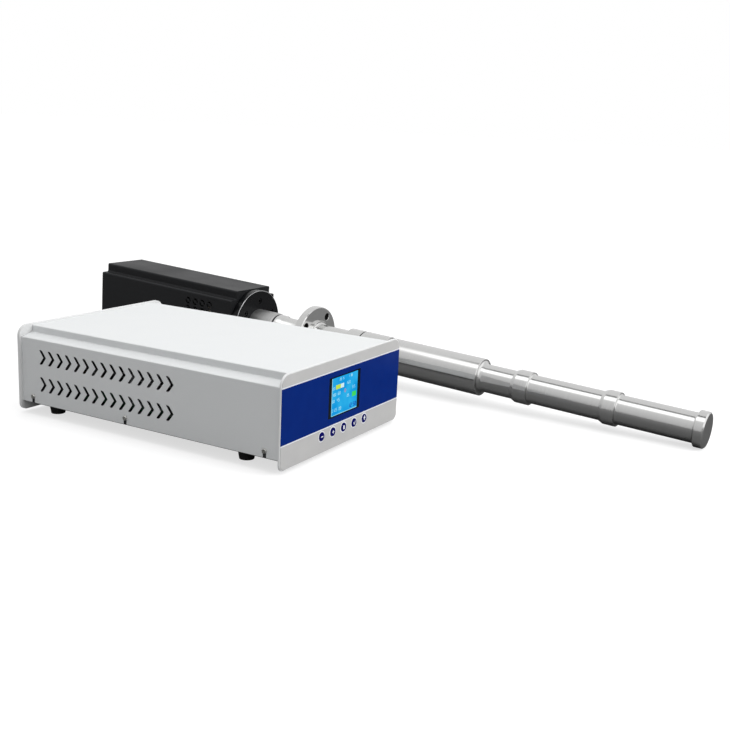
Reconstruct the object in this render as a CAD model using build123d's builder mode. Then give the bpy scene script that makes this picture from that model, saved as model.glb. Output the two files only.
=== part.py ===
# Ultrasonic extractor: a generator on rubber feet and, lying beside it on the bench, the
# transducer in its housing with a flanged horn and a long sonotrode.
# Millimetres, +Z up. The bench is Z = 0, the generator's front panel faces -Y, and the
# origin is on the bench below the middle of the whole outline.

import os
from math import atan2, cos, degrees, radians, sin

from build123d import *

os.makedirs("parts", exist_ok=True)

# Where the generator stands: middle of its width, and its front face
generator_x = -126.2
generator_y = -152.2

# Front and rear panel
panel_width = 270
panel_height = 110
panel_corner = 14
panel_foot_corner = 8.5
panel_above_bench = 4
front_plate = 2
rear_plate = 4.6
panel_edge = 0.9
generator_depth = 405
overlay_thickness = 0.6
overlay_margin = 1.5

# Folded cover with a step along each upper corner, and the tray below it
cover_inset = 3.3
cover_drop = 2
cover_sheet = 1.2
step_width = 17.8
step_height = 8.7
ledge_fall = 3.5
cover_edge = 16.4
tray_underside = 15.4
tray_sheet = 1.5
tray_wall = 18
tray_gap = 0.1
tray_corner = 18.4

# Chevron louvres in both sides of the cover
chevron_columns = 15
chevron_pitch = 14.7
chevron_rows = 2
chevron_row_pitch = 35
chevron_height = 18.8
chevron_depth = 11.8
chevron_stroke = 4.6
chevron_blunt = 1.2
chevron_first = 152.4
chevron_lower = 42.4

# Screws that hold the cover to the tray, in slots open at the bottom
cover_screw_front = 22.7
cover_screw_rear = 22.8
cover_screw_shift = 25.8
cover_screw_height = 24.2
cover_slot = 4.4
small_head = 3.2
small_head_height = 2
small_shank = 1.5
small_reach = 5
screw_fit = 0.05

# Rubber feet
foot_height = tray_underside
foot_top = 11.5
foot_bottom = 8.8
foot_side = 30
foot_front = 66
foot_rear = 38
foot_recess = 4.5
foot_recess_depth = 8
foot_screw = 1.95
foot_screw_head = 3.8
foot_screw_head_height = 2.6
nut_across = 7
nut_height = 3

# Rails between the panels, at the upper corners
rail_size = 8
rail_side = 13
rail_z = 92
lower_screw_side = 17
lower_screw_z = 26
countersink = 3

# Display and keys
display_x = -1
display_above_edge = 63
window_width = 71.6
window_height = 49.4
window_corner = 1
window_gap = 0.15
display_depth = 8.4
display_lip = 3.2
key_above_edge = 21
key_pitch = 24.5
key_radius = 5.2
key_clearance = 0.3
key_proud = 1.0
key_travel = 0.8
key_flange = 6.3
key_flange_thickness = 1.2
key_rounding = 0.4
plunger_radius = 1.65
plunger_clearance = 0.1
plunger_length = 2.5
switch_size = 6.2
switch_height = 3.6
board_sheet = 1.6
control_board_width = 200
control_board_height = 80
control_board_z = 59.5
standoff_across = 5.5
standoff_inset = 6

# Fan behind the rear panel, as seen from behind
fan_side = 65
fan_z = 61
fan_size = 80
fan_depth = 25
fan_bore = 38.2
fan_screw_pitch = 71.5
fan_screw = 2
fan_screw_head = 3.7
fan_screw_reach = 26
fan_corner = 2.4
fan_web = 3
fan_strut = 4
fan_hub = 17.5
fan_pin = 1.5
rotor_hub = 18
rotor_hub_length = 19
rotor_tip = 37
rotor_blades = 7
blade_chord = 19
blade_thickness = 1.6
blade_root_pitch = 40
blade_tip_pitch = 28
rotor_gap = 1
running_clearance = 0.08
guard_ring_width = 1.8
guard_ring_pitch = 8.2
guard_thickness = 1.6
guard_eye = 4.4

# Mains inlet module with fuse drawer and rocker, as seen from behind
inlet_side = 40
inlet_z = 60
inlet_flange_width = 48
inlet_flange_height = 58
inlet_flange = 2.5
inlet_corner = 3.2
inlet_body_width = 27
inlet_body_height = 47
inlet_body_depth = 24
inlet_screw_pitch = 40
inlet_gap = 0.2
socket_v = -12.5
pin_drop = 1
socket_width = 24.4
socket_height = 16.6
socket_cut = 4.5
socket_depth = 16
blade_width = 2
blade_height = 4
blade_length = 14
blade_spacing = 14
blade_rise = 3
tab_length = 8
drawer_v = 0.7
drawer_width = 23.4
drawer_height = 6.4
drawer_depth = 22
drawer_proud = 0.8
drawer_clearance = 0.3
drawer_travel = 18
fuse_radius = 2.6
fuse_length = 20
fuse_gap = 0.2
rocker_v = 13.5
rocker_half = 9.6
rocker_height = 12.6
rocker_clearance = 0.4
rocker_cavity = 11
rocker_cavity_depth = 11
rocker_pivot_depth = 3
rocker_tilt = 7
rocker_tip = 5.2
rocker_saddle = 4
rocker_skirt = 2.5
rocker_foot = 3
rocker_heel = 5
trunnion = 1.2
trunnion_length = 1.2

# Round connector, the same on the generator and on the transducer
connector_u = 30
connector_z = 72
connector_shell = 9.5
connector_bore = 7.8
connector_length = 11
connector_collar = 13
connector_collar_thickness = 2
connector_body_depth = 14
connector_nut = 12.5
connector_nut_thickness = 3
connector_insert_depth = 8.5
contact_radius = 0.9
contact_circle = 4
contact_count = 4
contact_tail = 4
contact_recess = 2
earth_z = 34
earth_stud = 2.4
earth_stud_length = 16
earth_nut_across = 10
earth_nut_thickness = 4

# Electronics on the tray
main_board_side = 35
main_board_length = 270
main_board_front = 55
main_board_lift = 8
main_board_inset = 8
sink_side = 48
sink_y = 185
sink_width = 64
sink_length = 180
sink_height = 50
sink_base = 7
fin_count = 9
fin_thickness = 2
transistor_count = 4
transistor_pitch = 38
transistor_width = 16
transistor_height = 20
transistor_thickness = 5
capacitor_gap = 2.5
capacitor_y = 120
capacitor_radius = 17.5
capacitor_height = 48
capacitor_pitch = 45
capacitor_count = 3
capacitor_edge = 1.5
core_side = 40
core_y = 235
core_width = 65
core_height = 54
core_depth = 36
core_leg = 16
core_yoke = 8
winding_gap = 0.3

# Where the probe lies: centre of the sonotrode's end face, and the way it points
tip_x = 150.9
tip_y = -521.1
probe_heading = 3.36

# Sonotrode: radii, and stations measured along the axis from its end face
cap_radius = 24.1
cap_end = 12.8
rod_radius = 20
collar_radius = 23.3
collar_spans = ((116.4, 138.1), (241.9, 266.3))
collar_bevel = 5
collar_shoulder = 1
root_fillet = 2.8
barrel_radius = 26.6
barrel_start = 317.9
barrel_fillet = 6
groove_start = 471
groove_width = 4
groove_depth = 1
sonotrode_end = 522
rear_barrel_radius = 27.2
edge_break = 0.6
joint_chamfer = 1.5

# Flanged horn
horn_collar_end = 547
horn_shaft = 22.6
horn_shaft_fillet = 4
horn_boss = 28
horn_boss_start = 606
flange_start = 610
flange_thickness = 13
flange_radius = 49
flange_bolts = 4
flange_bolt_circle = 77
flange_bolt_hole = 5.5
flange_bolt_angle = 36
horn_rear_shaft = 21.3
horn_rear_step = 671
horn_rear_radius = 23.4
horn_rear_cone = 4
horn_end = 688
stud_radius = 8
stud_reach = 22
stud_fit = 0.05
stud_end_gap = 2

# Transducer
stub_radius = 24.7
clamp_ring_radius = 44
clamp_ring_thickness = 6
front_mass_radius = 31
front_mass_end = 790
piezo_outer = 30
piezo_inner = 10
piezo_thickness = 6
piezo_count = 4
electrode_thickness = 0.5
electrode_tab = 8
electrode_tab_reach = 38
electrode_turn = 30
back_mass_length = 40
bolt_head_radius = 12.5
bolt_head_height = 12
bolt_socket = 5.8
bolt_socket_depth = 7
bolt_reach = 24

# Transducer housing
disc_start = 730
disc_thickness = 12.5
disc_radius = 55
disc_bore_gap = 0.5
disc_edge = 1
clamp_screws_count = 6
clamp_screw_circle = 37.8
clamp_screw_angle = 34
clamp_head = 4.25
clamp_head_height = 5
clamp_bore = 4.6
clamp_bore_depth = 6
clamp_shank = 2.5
disc_screw_circle = 48
disc_screw_angles = (64, 124, 244, 304)
disc_screw_shank = 1.5
housing_half_width = 53.7
housing_half_height = 56.3
housing_top_half = 40.8
housing_ledge = 42.4
housing_wall = 2.5
housing_length = 291.8
housing_edge = 2.4
end_plate_gap = 0.1
front_plate_bore_gap = 0.3
rear_cover_thickness = 5.3
boss_radius = 4.6
boss_u = 35.3
boss_v = 36.9
vent_columns = 4
vent_pitch = 15.2
vent_rows = 5
vent_row_pitch = 13.7
vent_middle = 811.3
vent_outer = 5.7
vent_inner = 2.9
vent_bridge = 2.4
vent_turn = 35
vent_sides = 14

# Heights and depths that follow
panel_bottom = panel_above_bench
panel_top = panel_bottom + panel_height
panel_middle = panel_bottom + panel_height / 2
inner_front = overlay_thickness + front_plate
inner_rear = generator_depth - rear_plate
body_half = panel_width / 2 - cover_inset
cover_top = panel_top - cover_drop
ledge = cover_top - step_height - ledge_fall
cover_length = inner_rear - inner_front
cover_middle = (inner_front + inner_rear) / 2
tray_half = body_half - cover_sheet - tray_gap
tray_floor = tray_underside + tray_sheet
tray_top = tray_underside + tray_wall
display_z = panel_bottom + display_above_edge
key_z = panel_bottom + key_above_edge
key_hole = key_radius + key_clearance
key_flange_front = inner_front + key_clearance
key_flange_rear = key_flange_front + key_flange_thickness
control_board_front = overlay_thickness + display_depth
main_board_bottom = tray_floor + main_board_lift
main_board_top = main_board_bottom + board_sheet
housing_start = disc_start + disc_thickness
housing_end = housing_start + housing_length
clamp_ring_end = housing_start + clamp_ring_thickness
flange_end = flange_start + flange_thickness
piezo_pitch = piezo_thickness + electrode_thickness
back_mass_start = front_mass_end + piezo_count * piezo_pitch
back_mass_end = back_mass_start + back_mass_length
tray_window = tray_half - tray_corner
rail_x = panel_width / 2 - rail_side
lower_screw_x = panel_width / 2 - lower_screw_side
foot_x = panel_width / 2 - foot_side
fan_u = fan_side - panel_width / 2
inlet_u = panel_width / 2 - inlet_side
main_board_width = panel_width - 2 * main_board_side
sink_x = sink_side - main_board_width / 2
sink_face = sink_x + sink_width / 2
capacitor_x = sink_face + transistor_thickness + capacitor_gap + capacitor_radius
core_x = main_board_width / 2 - core_side
foot_depths = (foot_front, generator_depth - foot_rear)
foot_places = [(side * foot_x, depth) for side in (-1, 1) for depth in foot_depths]
cover_screw_depths = (
    cover_screw_front, cover_middle + cover_screw_shift, generator_depth - cover_screw_rear
)

# The probe rests on the rim of its end cap and on the lower front edge of the housing
probe_rise = degrees(atan2(housing_half_height - cap_radius, housing_start))
tip_z = cap_radius * cos(radians(probe_rise))
probe_axis = Vector(
    sin(radians(probe_heading)) * cos(radians(probe_rise)),
    cos(radians(probe_heading)) * cos(radians(probe_rise)),
    sin(radians(probe_rise)),
)
probe_side = Vector(-cos(radians(probe_heading)), sin(radians(probe_heading)), 0)
probe_tip = Vector(tip_x, tip_y, tip_z)
turning_axis = Axis(probe_tip, probe_axis)


def facing_front(depth):
    """Plane across the generator at a depth behind its front face, looking out of it."""
    return Plane((generator_x, generator_y + depth, 0), x_dir=(1, 0, 0), z_dir=(0, -1, 0))


def facing_rear(depth):
    """The same plane, looking out of the rear: x runs to the right as seen from behind."""
    return Plane((generator_x, generator_y + depth, 0), x_dir=(-1, 0, 0), z_dir=(0, 1, 0))


def facing_up(height):
    """Level plane under the generator: x across it, y from its front face to the rear."""
    return Plane((generator_x, generator_y, height), x_dir=(1, 0, 0), z_dir=(0, 0, 1))


def facing_side(across):
    """Upright plane along the generator: x runs to the rear, y is the height."""
    return Plane((generator_x + across, generator_y, 0), x_dir=(0, 1, 0), z_dir=(1, 0, 0))


def across_probe(station):
    """Plane square to the probe's axis, looking to the rear of its housing."""
    return Plane(probe_tip + probe_axis * station, x_dir=probe_side, z_dir=probe_axis)


def along_probe(station=0):
    """Upright plane that holds the probe's axis: x runs along it, y is the radius."""
    up = probe_axis.cross(probe_side)
    origin = probe_tip + probe_axis * station
    return Plane(origin, x_dir=probe_axis, z_dir=probe_axis.cross(up))


def moved(plane, u, v, w=0):
    """A plane shifted along its own three directions."""
    return Plane(plane.from_local_coords(Vector(u, v, w)), x_dir=plane.x_dir, z_dir=plane.z_dir)


def save(piece, label):
    """Name a finished piece and write it to its own file."""
    piece.part.label = label
    export_step(piece.part, f"parts/{label}.step")


def panel_outline(inset):
    """Outline of both panels: corners at the top are larger than those at the foot."""
    with BuildSketch() as outline:
        with Locations((0, panel_middle)):
            Rectangle(panel_width - 2 * inset, panel_height - 2 * inset)
        fillet(outline.vertices().group_by(Axis.Y)[-1], radius=panel_corner - inset)
        fillet(outline.vertices().group_by(Axis.Y)[0], radius=panel_foot_corner - inset)
    return outline.sketch


def screws(plane, places, head, head_height, shank, reach):
    """Round-headed screws: heads stand on the plane, shanks go down from it."""
    with BuildPart() as group:
        with BuildSketch(plane):
            with Locations(*places):
                Circle(head)
        extrude(amount=head_height)
        with BuildSketch(plane):
            with Locations(*places):
                Circle(shank)
        extrude(amount=-reach)
    return group


def flush_screws(plane, places, head, shank, reach):
    """Countersunk screws whose heads end level with the plane."""
    with BuildPart() as group:
        for place in places:
            with BuildSketch(moved(plane, *place)):
                Circle(head)
            with BuildSketch(moved(plane, *place, shank - head)):
                Circle(shank)
            loft()
        with BuildSketch(moved(plane, 0, 0, shank - head)):
            with Locations(*places):
                Circle(shank)
        extrude(amount=shank - reach)
    return group


# Front panel: a rounded plate, cut out for the display and the keys
key_places = [(display_x + (n - 2) * key_pitch, key_z) for n in range(5)]
upper_screw_places = [(-rail_x, rail_z), (rail_x, rail_z)]
lower_screw_places = [(-lower_screw_x, lower_screw_z), (lower_screw_x, lower_screw_z)]
panel_screw_places = upper_screw_places + lower_screw_places
control_standoff_places = [
    (x * (control_board_width / 2 - standoff_inset),
     control_board_z + y * (control_board_height / 2 - standoff_inset))
    for x in (-1, 1) for y in (-1, 1)
]

with BuildPart() as front_panel:
    with BuildSketch(facing_front(overlay_thickness)):
        add(panel_outline(0))
    extrude(amount=-front_plate)
    fillet(front_panel.faces().sort_by(Axis.Y)[0].edges(), radius=panel_edge)
    with BuildSketch(facing_front(overlay_thickness)):
        with Locations((display_x, display_z)):
            RectangleRounded(window_width, window_height, window_corner)
        with Locations(*key_places):
            Circle(key_hole)
        with Locations(*panel_screw_places):
            Circle(small_shank + screw_fit)
    extrude(amount=-front_plate, mode=Mode.SUBTRACT)
    for place in panel_screw_places:
        with BuildSketch(moved(facing_front(overlay_thickness), *place)):
            Circle(countersink + screw_fit)
        with BuildSketch(moved(facing_front(overlay_thickness), *place, small_shank - countersink)):
            Circle(small_shank + screw_fit)
        loft(mode=Mode.SUBTRACT)
save(front_panel, "front_panel")

with BuildPart() as panel_overlay:
    with BuildSketch(facing_front(0)):
        add(panel_outline(overlay_margin))
        with Locations((display_x, display_z)):
            RectangleRounded(window_width, window_height, window_corner, mode=Mode.SUBTRACT)
        with Locations(*key_places):
            Circle(key_hole, mode=Mode.SUBTRACT)
    extrude(amount=-overlay_thickness)
save(panel_overlay, "panel_overlay")

with BuildPart() as display_window:
    with BuildSketch(facing_front(0)):
        with Locations((display_x, display_z)):
            RectangleRounded(
                window_width - 2 * window_gap, window_height - 2 * window_gap, window_corner
            )
    extrude(amount=-overlay_thickness)
save(display_window, "display_window")

with BuildPart() as display_module:
    with BuildSketch(facing_front(overlay_thickness)):
        with Locations((display_x, display_z)):
            RectangleRounded(
                window_width - 2 * window_gap, window_height - 2 * window_gap, window_corner
            )
    extrude(amount=-display_depth)
    with BuildSketch(facing_front(inner_front)):
        with Locations((display_x, display_z)):
            Rectangle(window_width + 2 * display_lip, window_height + 2 * display_lip)
    extrude(amount=inner_front - control_board_front)
save(display_module, "display_module")

# Each key: a cap through the panel, a retaining flange behind it, and a plunger
key_names = ("left_key", "right_key", "menu_key", "down_key", "up_key")
for key_name, key_place in zip(key_names, key_places):
    with BuildPart() as key:
        with BuildSketch(moved(facing_front(-key_proud), *key_place)):
            Circle(key_radius)
        extrude(amount=-(key_proud + key_flange_front))
        fillet(key.faces().sort_by(Axis.Y)[0].edges(), radius=key_rounding)
        with BuildSketch(moved(facing_front(key_flange_front), *key_place)):
            Circle(key_flange)
        extrude(amount=-key_flange_thickness)
        with BuildSketch(moved(facing_front(key_flange_rear), *key_place)):
            Circle(plunger_radius)
        extrude(amount=-plunger_length)
    save(key, key_name)

with BuildPart() as tactile_switches:
    with BuildSketch(facing_front(control_board_front)):
        with Locations(*key_places):
            Rectangle(switch_size, switch_size)
    extrude(amount=switch_height)
    with BuildSketch(facing_front(control_board_front - switch_height)):
        with Locations(*key_places):
            Circle(plunger_radius + plunger_clearance)
    extrude(amount=-(switch_height - board_sheet / 2), mode=Mode.SUBTRACT)
save(tactile_switches, "tactile_switches")

with BuildPart() as control_board:
    with BuildSketch(facing_front(control_board_front)):
        with Locations((0, control_board_z)):
            Rectangle(control_board_width, control_board_height)
        with Locations(*control_standoff_places):
            Circle(small_shank + screw_fit, mode=Mode.SUBTRACT)
    extrude(amount=-board_sheet)
save(control_board, "control_board")

# Threaded posts behind the panel, with the screws that hold the board on them
with BuildPart() as panel_standoffs:
    with BuildSketch(facing_front(inner_front)):
        with Locations(*control_standoff_places):
            RegularPolygon(standoff_across / 2, 6, major_radius=False)
    extrude(amount=inner_front - control_board_front)
    with BuildSketch(facing_front(control_board_front)):
        with Locations(*control_standoff_places):
            Circle(small_shank)
    extrude(amount=-board_sheet)
    with BuildSketch(facing_front(control_board_front + board_sheet)):
        with Locations(*control_standoff_places):
            Circle(small_head)
    extrude(amount=-small_head_height)
save(panel_standoffs, "panel_standoffs")


def stepped_section(inset, foot):
    """Outline of the cover's cross-section, drawn in from the outside by the inset."""
    side = body_half - inset
    crown = body_half - step_width - inset
    low = ledge + ledge_fall * inset / step_width - inset
    high = low + ledge_fall
    return [
        (-side, foot), (-side, low), (-crown, high), (-crown, cover_top - inset),
        (crown, cover_top - inset), (crown, high), (side, low), (side, foot),
    ]


# Top cover: one folded sheet with stepped corners and rows of chevron louvres
arm = chevron_height / 2
tip = chevron_depth - chevron_stroke
with BuildSketch() as chevron:
    with BuildLine():
        Polyline(
            (0, arm), (-chevron_stroke, arm), (-chevron_depth, 0), (-chevron_stroke, -arm),
            (0, -arm), (-tip, 0), close=True,
        )
    make_face()
    chamfer(chevron.vertices().filter_by(lambda corner: abs(corner.Y) > 1), length=chevron_blunt)

with BuildPart() as top_cover:
    with BuildSketch(facing_front(inner_front)) as fold:
        with BuildLine():
            Polyline(*stepped_section(0, cover_edge), close=True)
        make_face()
        with BuildLine():
            Polyline(*stepped_section(cover_sheet, 0), close=True)
        make_face(mode=Mode.SUBTRACT)
        fillet(
            fold.vertices().filter_by(lambda corner: corner.Y > cover_edge + cover_sheet),
            radius=cover_sheet,
        )
    extrude(amount=-cover_length)
    with BuildSketch(facing_side(0)):
        louvre_x = chevron_first + chevron_depth + (chevron_columns - 1) * chevron_pitch / 2
        louvre_y = chevron_lower + (chevron_rows - 1) * chevron_row_pitch / 2
        with Locations((louvre_x, louvre_y)):
            with GridLocations(chevron_pitch, chevron_row_pitch, chevron_columns, chevron_rows):
                add(chevron.sketch)
        for depth in cover_screw_depths:
            with Locations((depth, cover_screw_height)):
                Circle(cover_slot / 2)
                Rectangle(cover_slot, cover_screw_height, align=(Align.CENTER, Align.MAX))
    extrude(amount=panel_width, both=True, mode=Mode.SUBTRACT)
save(top_cover, "top_cover")

# Base tray: a shallow folded tray, its end walls cut away between the corners
cover_screw_places = [(depth, cover_screw_height) for depth in cover_screw_depths]
board_post_places = [
    (x * (main_board_width / 2 - main_board_inset),
     main_board_front + main_board_length / 2 + y * (main_board_length / 2 - main_board_inset))
    for x in (-1, 1) for y in (-1, 0, 1)
]

with BuildPart() as base_tray:
    with BuildSketch(facing_up(tray_underside)):
        with Locations((0, cover_middle)):
            Rectangle(2 * tray_half, cover_length)
    extrude(amount=tray_wall)
    offset(amount=-tray_sheet, openings=base_tray.faces().sort_by(Axis.Z)[-1])
    with BuildSketch(facing_up(tray_floor)):
        with Locations((0, cover_middle)):
            Rectangle(2 * tray_window, panel_width + generator_depth)
    extrude(amount=tray_wall, mode=Mode.SUBTRACT)
    with BuildSketch(facing_side(0)):
        with Locations(*cover_screw_places):
            Circle(small_shank + screw_fit)
    extrude(amount=panel_width, both=True, mode=Mode.SUBTRACT)
    with BuildSketch(facing_front(0)):
        with Locations(*lower_screw_places):
            Circle(small_shank + screw_fit)
    extrude(amount=-generator_depth, mode=Mode.SUBTRACT)
    with BuildSketch(facing_up(tray_underside)):
        with Locations(*foot_places):
            Circle(foot_screw + screw_fit)
        with Locations(*board_post_places):
            Circle(small_shank + screw_fit)
    extrude(amount=tray_sheet, mode=Mode.SUBTRACT)
save(base_tray, "base_tray")

with BuildPart() as side_rails:
    with BuildSketch(facing_front(inner_front)):
        with Locations(*upper_screw_places):
            Rectangle(rail_size, rail_size)
            Circle(small_shank + screw_fit, mode=Mode.SUBTRACT)
    extrude(amount=-cover_length)
save(side_rails, "side_rails")

with BuildPart() as rubber_feet:
    with Locations(*[(generator_x + x, generator_y + y, 0) for x, y in foot_places]):
        Cone(foot_bottom, foot_top, foot_height, align=(Align.CENTER, Align.CENTER, Align.MIN))
    with BuildSketch(facing_up(0)):
        with Locations(*foot_places):
            Circle(foot_recess)
    extrude(amount=foot_recess_depth, mode=Mode.SUBTRACT)
    with BuildSketch(facing_up(0)):
        with Locations(*foot_places):
            Circle(foot_screw + screw_fit)
    extrude(amount=foot_height, mode=Mode.SUBTRACT)
save(rubber_feet, "rubber_feet")

# Foot screws, each with its nut on the tray's floor
with BuildPart() as foot_screws:
    with BuildSketch(facing_up(foot_recess_depth - foot_screw_head_height)):
        with Locations(*foot_places):
            Circle(foot_screw_head)
    extrude(amount=foot_screw_head_height)
    with BuildSketch(facing_up(foot_recess_depth)):
        with Locations(*foot_places):
            Circle(foot_screw)
    extrude(amount=tray_floor + nut_height - foot_recess_depth)
    with BuildSketch(facing_up(tray_floor)):
        with Locations(*foot_places):
            RegularPolygon(nut_across / 2, 6, major_radius=False)
    extrude(amount=nut_height)
save(foot_screws, "foot_screws")

with BuildPart() as cover_screws:
    with BuildSketch(facing_side(-body_half)):
        with Locations(*cover_screw_places):
            Circle(small_head)
    extrude(amount=-small_head_height)
    with BuildSketch(facing_side(-body_half)):
        with Locations(*cover_screw_places):
            Circle(small_shank)
    extrude(amount=small_reach)
    mirror(about=Plane.YZ.offset(generator_x))
save(cover_screws, "cover_screws")

front_panel_screws = flush_screws(
    facing_front(overlay_thickness), panel_screw_places, countersink, small_shank,
    front_plate + small_reach,
)
save(front_panel_screws, "front_panel_screws")

# Rear panel, cut out for the fan, the mains inlet, the connector and the earth stud
fan_face = moved(facing_rear(inner_rear), fan_u, fan_z)
fan_screw_places = [
    (x * fan_screw_pitch / 2, y * fan_screw_pitch / 2) for x in (-1, 1) for y in (-1, 1)
]
inlet_screw_places = [
    (inlet_u - inlet_screw_pitch / 2, inlet_z), (inlet_u + inlet_screw_pitch / 2, inlet_z)
]

with BuildPart() as rear_panel:
    with BuildSketch(facing_rear(inner_rear)):
        add(panel_outline(0))
    extrude(amount=rear_plate)
    fillet(rear_panel.faces().sort_by(Axis.Y)[-1].edges(), radius=panel_edge)
    with BuildSketch(facing_rear(inner_rear)):
        with Locations((fan_u, fan_z)):
            Circle(fan_bore)
            with Locations(*fan_screw_places):
                Circle(fan_screw + screw_fit)
        with Locations((inlet_u, inlet_z)):
            Rectangle(inlet_body_width + 2 * inlet_gap, inlet_body_height + 2 * inlet_gap)
        with Locations(*inlet_screw_places, *panel_screw_places):
            Circle(small_shank + screw_fit)
        with Locations((connector_u, connector_z)):
            Circle(connector_shell + inlet_gap)
        with Locations((connector_u, earth_z)):
            Circle(earth_stud + screw_fit)
    extrude(amount=rear_plate, mode=Mode.SUBTRACT)
save(rear_panel, "rear_panel")

# Screws of the rear panel and, on the inlet's flange, of the mains inlet
with BuildPart() as rear_screws:
    add(screws(facing_rear(generator_depth), panel_screw_places, small_head, small_head_height,
               small_shank, rear_plate + small_reach).part)
    add(screws(facing_rear(generator_depth + inlet_flange), inlet_screw_places, small_head,
               small_head_height, small_shank, inlet_flange + rear_plate).part)
save(rear_screws, "rear_screws")

# Fan: a square frame whose struts carry the pin that the rotor turns on
with BuildPart() as fan_frame:
    with BuildSketch(moved(fan_face, 0, 0, -fan_depth)):
        RectangleRounded(fan_size, fan_size, fan_corner)
        Circle(fan_bore, mode=Mode.SUBTRACT)
    extrude(amount=fan_depth)
    with BuildSketch(moved(fan_face, 0, 0, -fan_depth)):
        Circle(fan_hub)
        Rectangle(2 * fan_bore + fan_web, fan_strut)
        Rectangle(fan_strut, 2 * fan_bore + fan_web)
    extrude(amount=fan_web)
    with BuildSketch(moved(fan_face, 0, 0, -fan_depth)):
        Circle(fan_pin)
    extrude(amount=fan_web + rotor_hub_length - rotor_gap)
    with BuildSketch(fan_face):
        with Locations(*fan_screw_places):
            Circle(fan_screw + screw_fit)
    extrude(amount=-fan_depth, mode=Mode.SUBTRACT)
save(fan_frame, "fan_frame")

# Rotor: a hub with pitched blades that flatten towards the tip
blade_middle = fan_web + rotor_gap + rotor_hub_length / 2
with BuildPart() as blade:
    with BuildSketch(Plane((rotor_hub - rotor_gap, 0, 0), x_dir=(0, 1, 0), z_dir=(1, 0, 0))):
        Rectangle(blade_chord, blade_thickness, rotation=blade_root_pitch)
    with BuildSketch(Plane((rotor_tip, 0, 0), x_dir=(0, 1, 0), z_dir=(1, 0, 0))):
        Rectangle(blade_chord, blade_thickness, rotation=blade_tip_pitch)
    loft()

with BuildPart() as fan_rotor:
    with BuildSketch(moved(fan_face, 0, 0, fan_web + rotor_gap - fan_depth)):
        Circle(rotor_hub)
    extrude(amount=rotor_hub_length)
    fillet(fan_rotor.faces().sort_by(Axis.Y)[-1].edges(), radius=rotor_gap)
    with Locations(moved(fan_face, 0, 0, blade_middle - fan_depth).location):
        with PolarLocations(0, rotor_blades):
            add(blade.part)
    with BuildSketch(moved(fan_face, 0, 0, fan_web + rotor_gap - fan_depth)):
        Circle(fan_pin + running_clearance)
    extrude(amount=rotor_hub_length - rotor_gap, mode=Mode.SUBTRACT)
save(fan_rotor, "fan_rotor")

# Finger guard: flat rings joined by two bars that end in the screw eyes
guard_face = moved(fan_face, 0, 0, rear_plate)
with BuildPart() as fan_guard:
    with BuildSketch(guard_face):
        for ring in range(1, 5):
            Circle(ring * guard_ring_pitch + guard_ring_width)
            Circle(ring * guard_ring_pitch, mode=Mode.SUBTRACT)
        for turn in (45, 135):
            Rectangle(fan_screw_pitch * 2 ** 0.5, guard_ring_width * 1.5, rotation=turn)
        with Locations(*fan_screw_places):
            Circle(guard_eye)
            Circle(fan_screw + screw_fit, mode=Mode.SUBTRACT)
    extrude(amount=guard_thickness)
save(fan_guard, "fan_guard")

fan_screws = screws(
    moved(guard_face, 0, 0, guard_thickness), fan_screw_places, fan_screw_head,
    small_head_height, fan_screw, fan_screw_reach,
)
save(fan_screws, "fan_screws")

# Mains inlet module: blades, then the body around them with its three cavities
inlet_face = moved(facing_rear(generator_depth), inlet_u, inlet_z, inlet_flange)
blade_places = [(-blade_spacing / 2, 0), (blade_spacing / 2, 0), (0, blade_rise)]
with BuildPart() as inlet_pins:
    with BuildSketch(moved(inlet_face, 0, socket_v - pin_drop, blade_length - socket_depth)):
        with Locations(*blade_places):
            Rectangle(blade_width, blade_height)
    extrude(amount=-(blade_length + inlet_body_depth + inlet_flange - socket_depth + tab_length))
save(inlet_pins, "inlet_pins")

with BuildPart() as inlet_module:
    with BuildSketch(moved(inlet_face, 0, 0, -inlet_flange)):
        RectangleRounded(inlet_flange_width, inlet_flange_height, inlet_corner)
    extrude(amount=inlet_flange)
    with BuildSketch(moved(inlet_face, 0, 0, -inlet_flange)):
        Rectangle(inlet_body_width, inlet_body_height)
    extrude(amount=-inlet_body_depth)
    with BuildSketch(moved(inlet_face, 0, socket_v)) as cavity:
        Rectangle(socket_width, socket_height)
        chamfer(cavity.vertices().group_by(Axis.Y)[-1], length=socket_cut)
    extrude(amount=-socket_depth, mode=Mode.SUBTRACT)
    with BuildSketch(moved(inlet_face, 0, drawer_v)):
        Rectangle(drawer_width + 2 * drawer_clearance, drawer_height + 2 * drawer_clearance)
    extrude(amount=-(drawer_depth + drawer_clearance), mode=Mode.SUBTRACT)
    with BuildSketch(moved(inlet_face, 0, rocker_v)):
        Rectangle(2 * rocker_cavity, rocker_height + 2 * rocker_clearance)
    extrude(amount=-rocker_cavity_depth, mode=Mode.SUBTRACT)
    with BuildSketch(moved(Plane(inlet_face.origin, x_dir=inlet_face.x_dir, z_dir=(0, 0, 1)),
                           0, rocker_pivot_depth, rocker_v)):
        Circle(trunnion + running_clearance)
    extrude(amount=rocker_height / 2 + 2 * trunnion_length, both=True, mode=Mode.SUBTRACT)
    with BuildSketch(inlet_face):
        with Locations((-inlet_screw_pitch / 2, 0), (inlet_screw_pitch / 2, 0)):
            Circle(small_shank + screw_fit)
    extrude(amount=-inlet_flange, mode=Mode.SUBTRACT)
    add(inlet_pins.part, mode=Mode.SUBTRACT)
save(inlet_module, "inlet_module")

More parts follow.
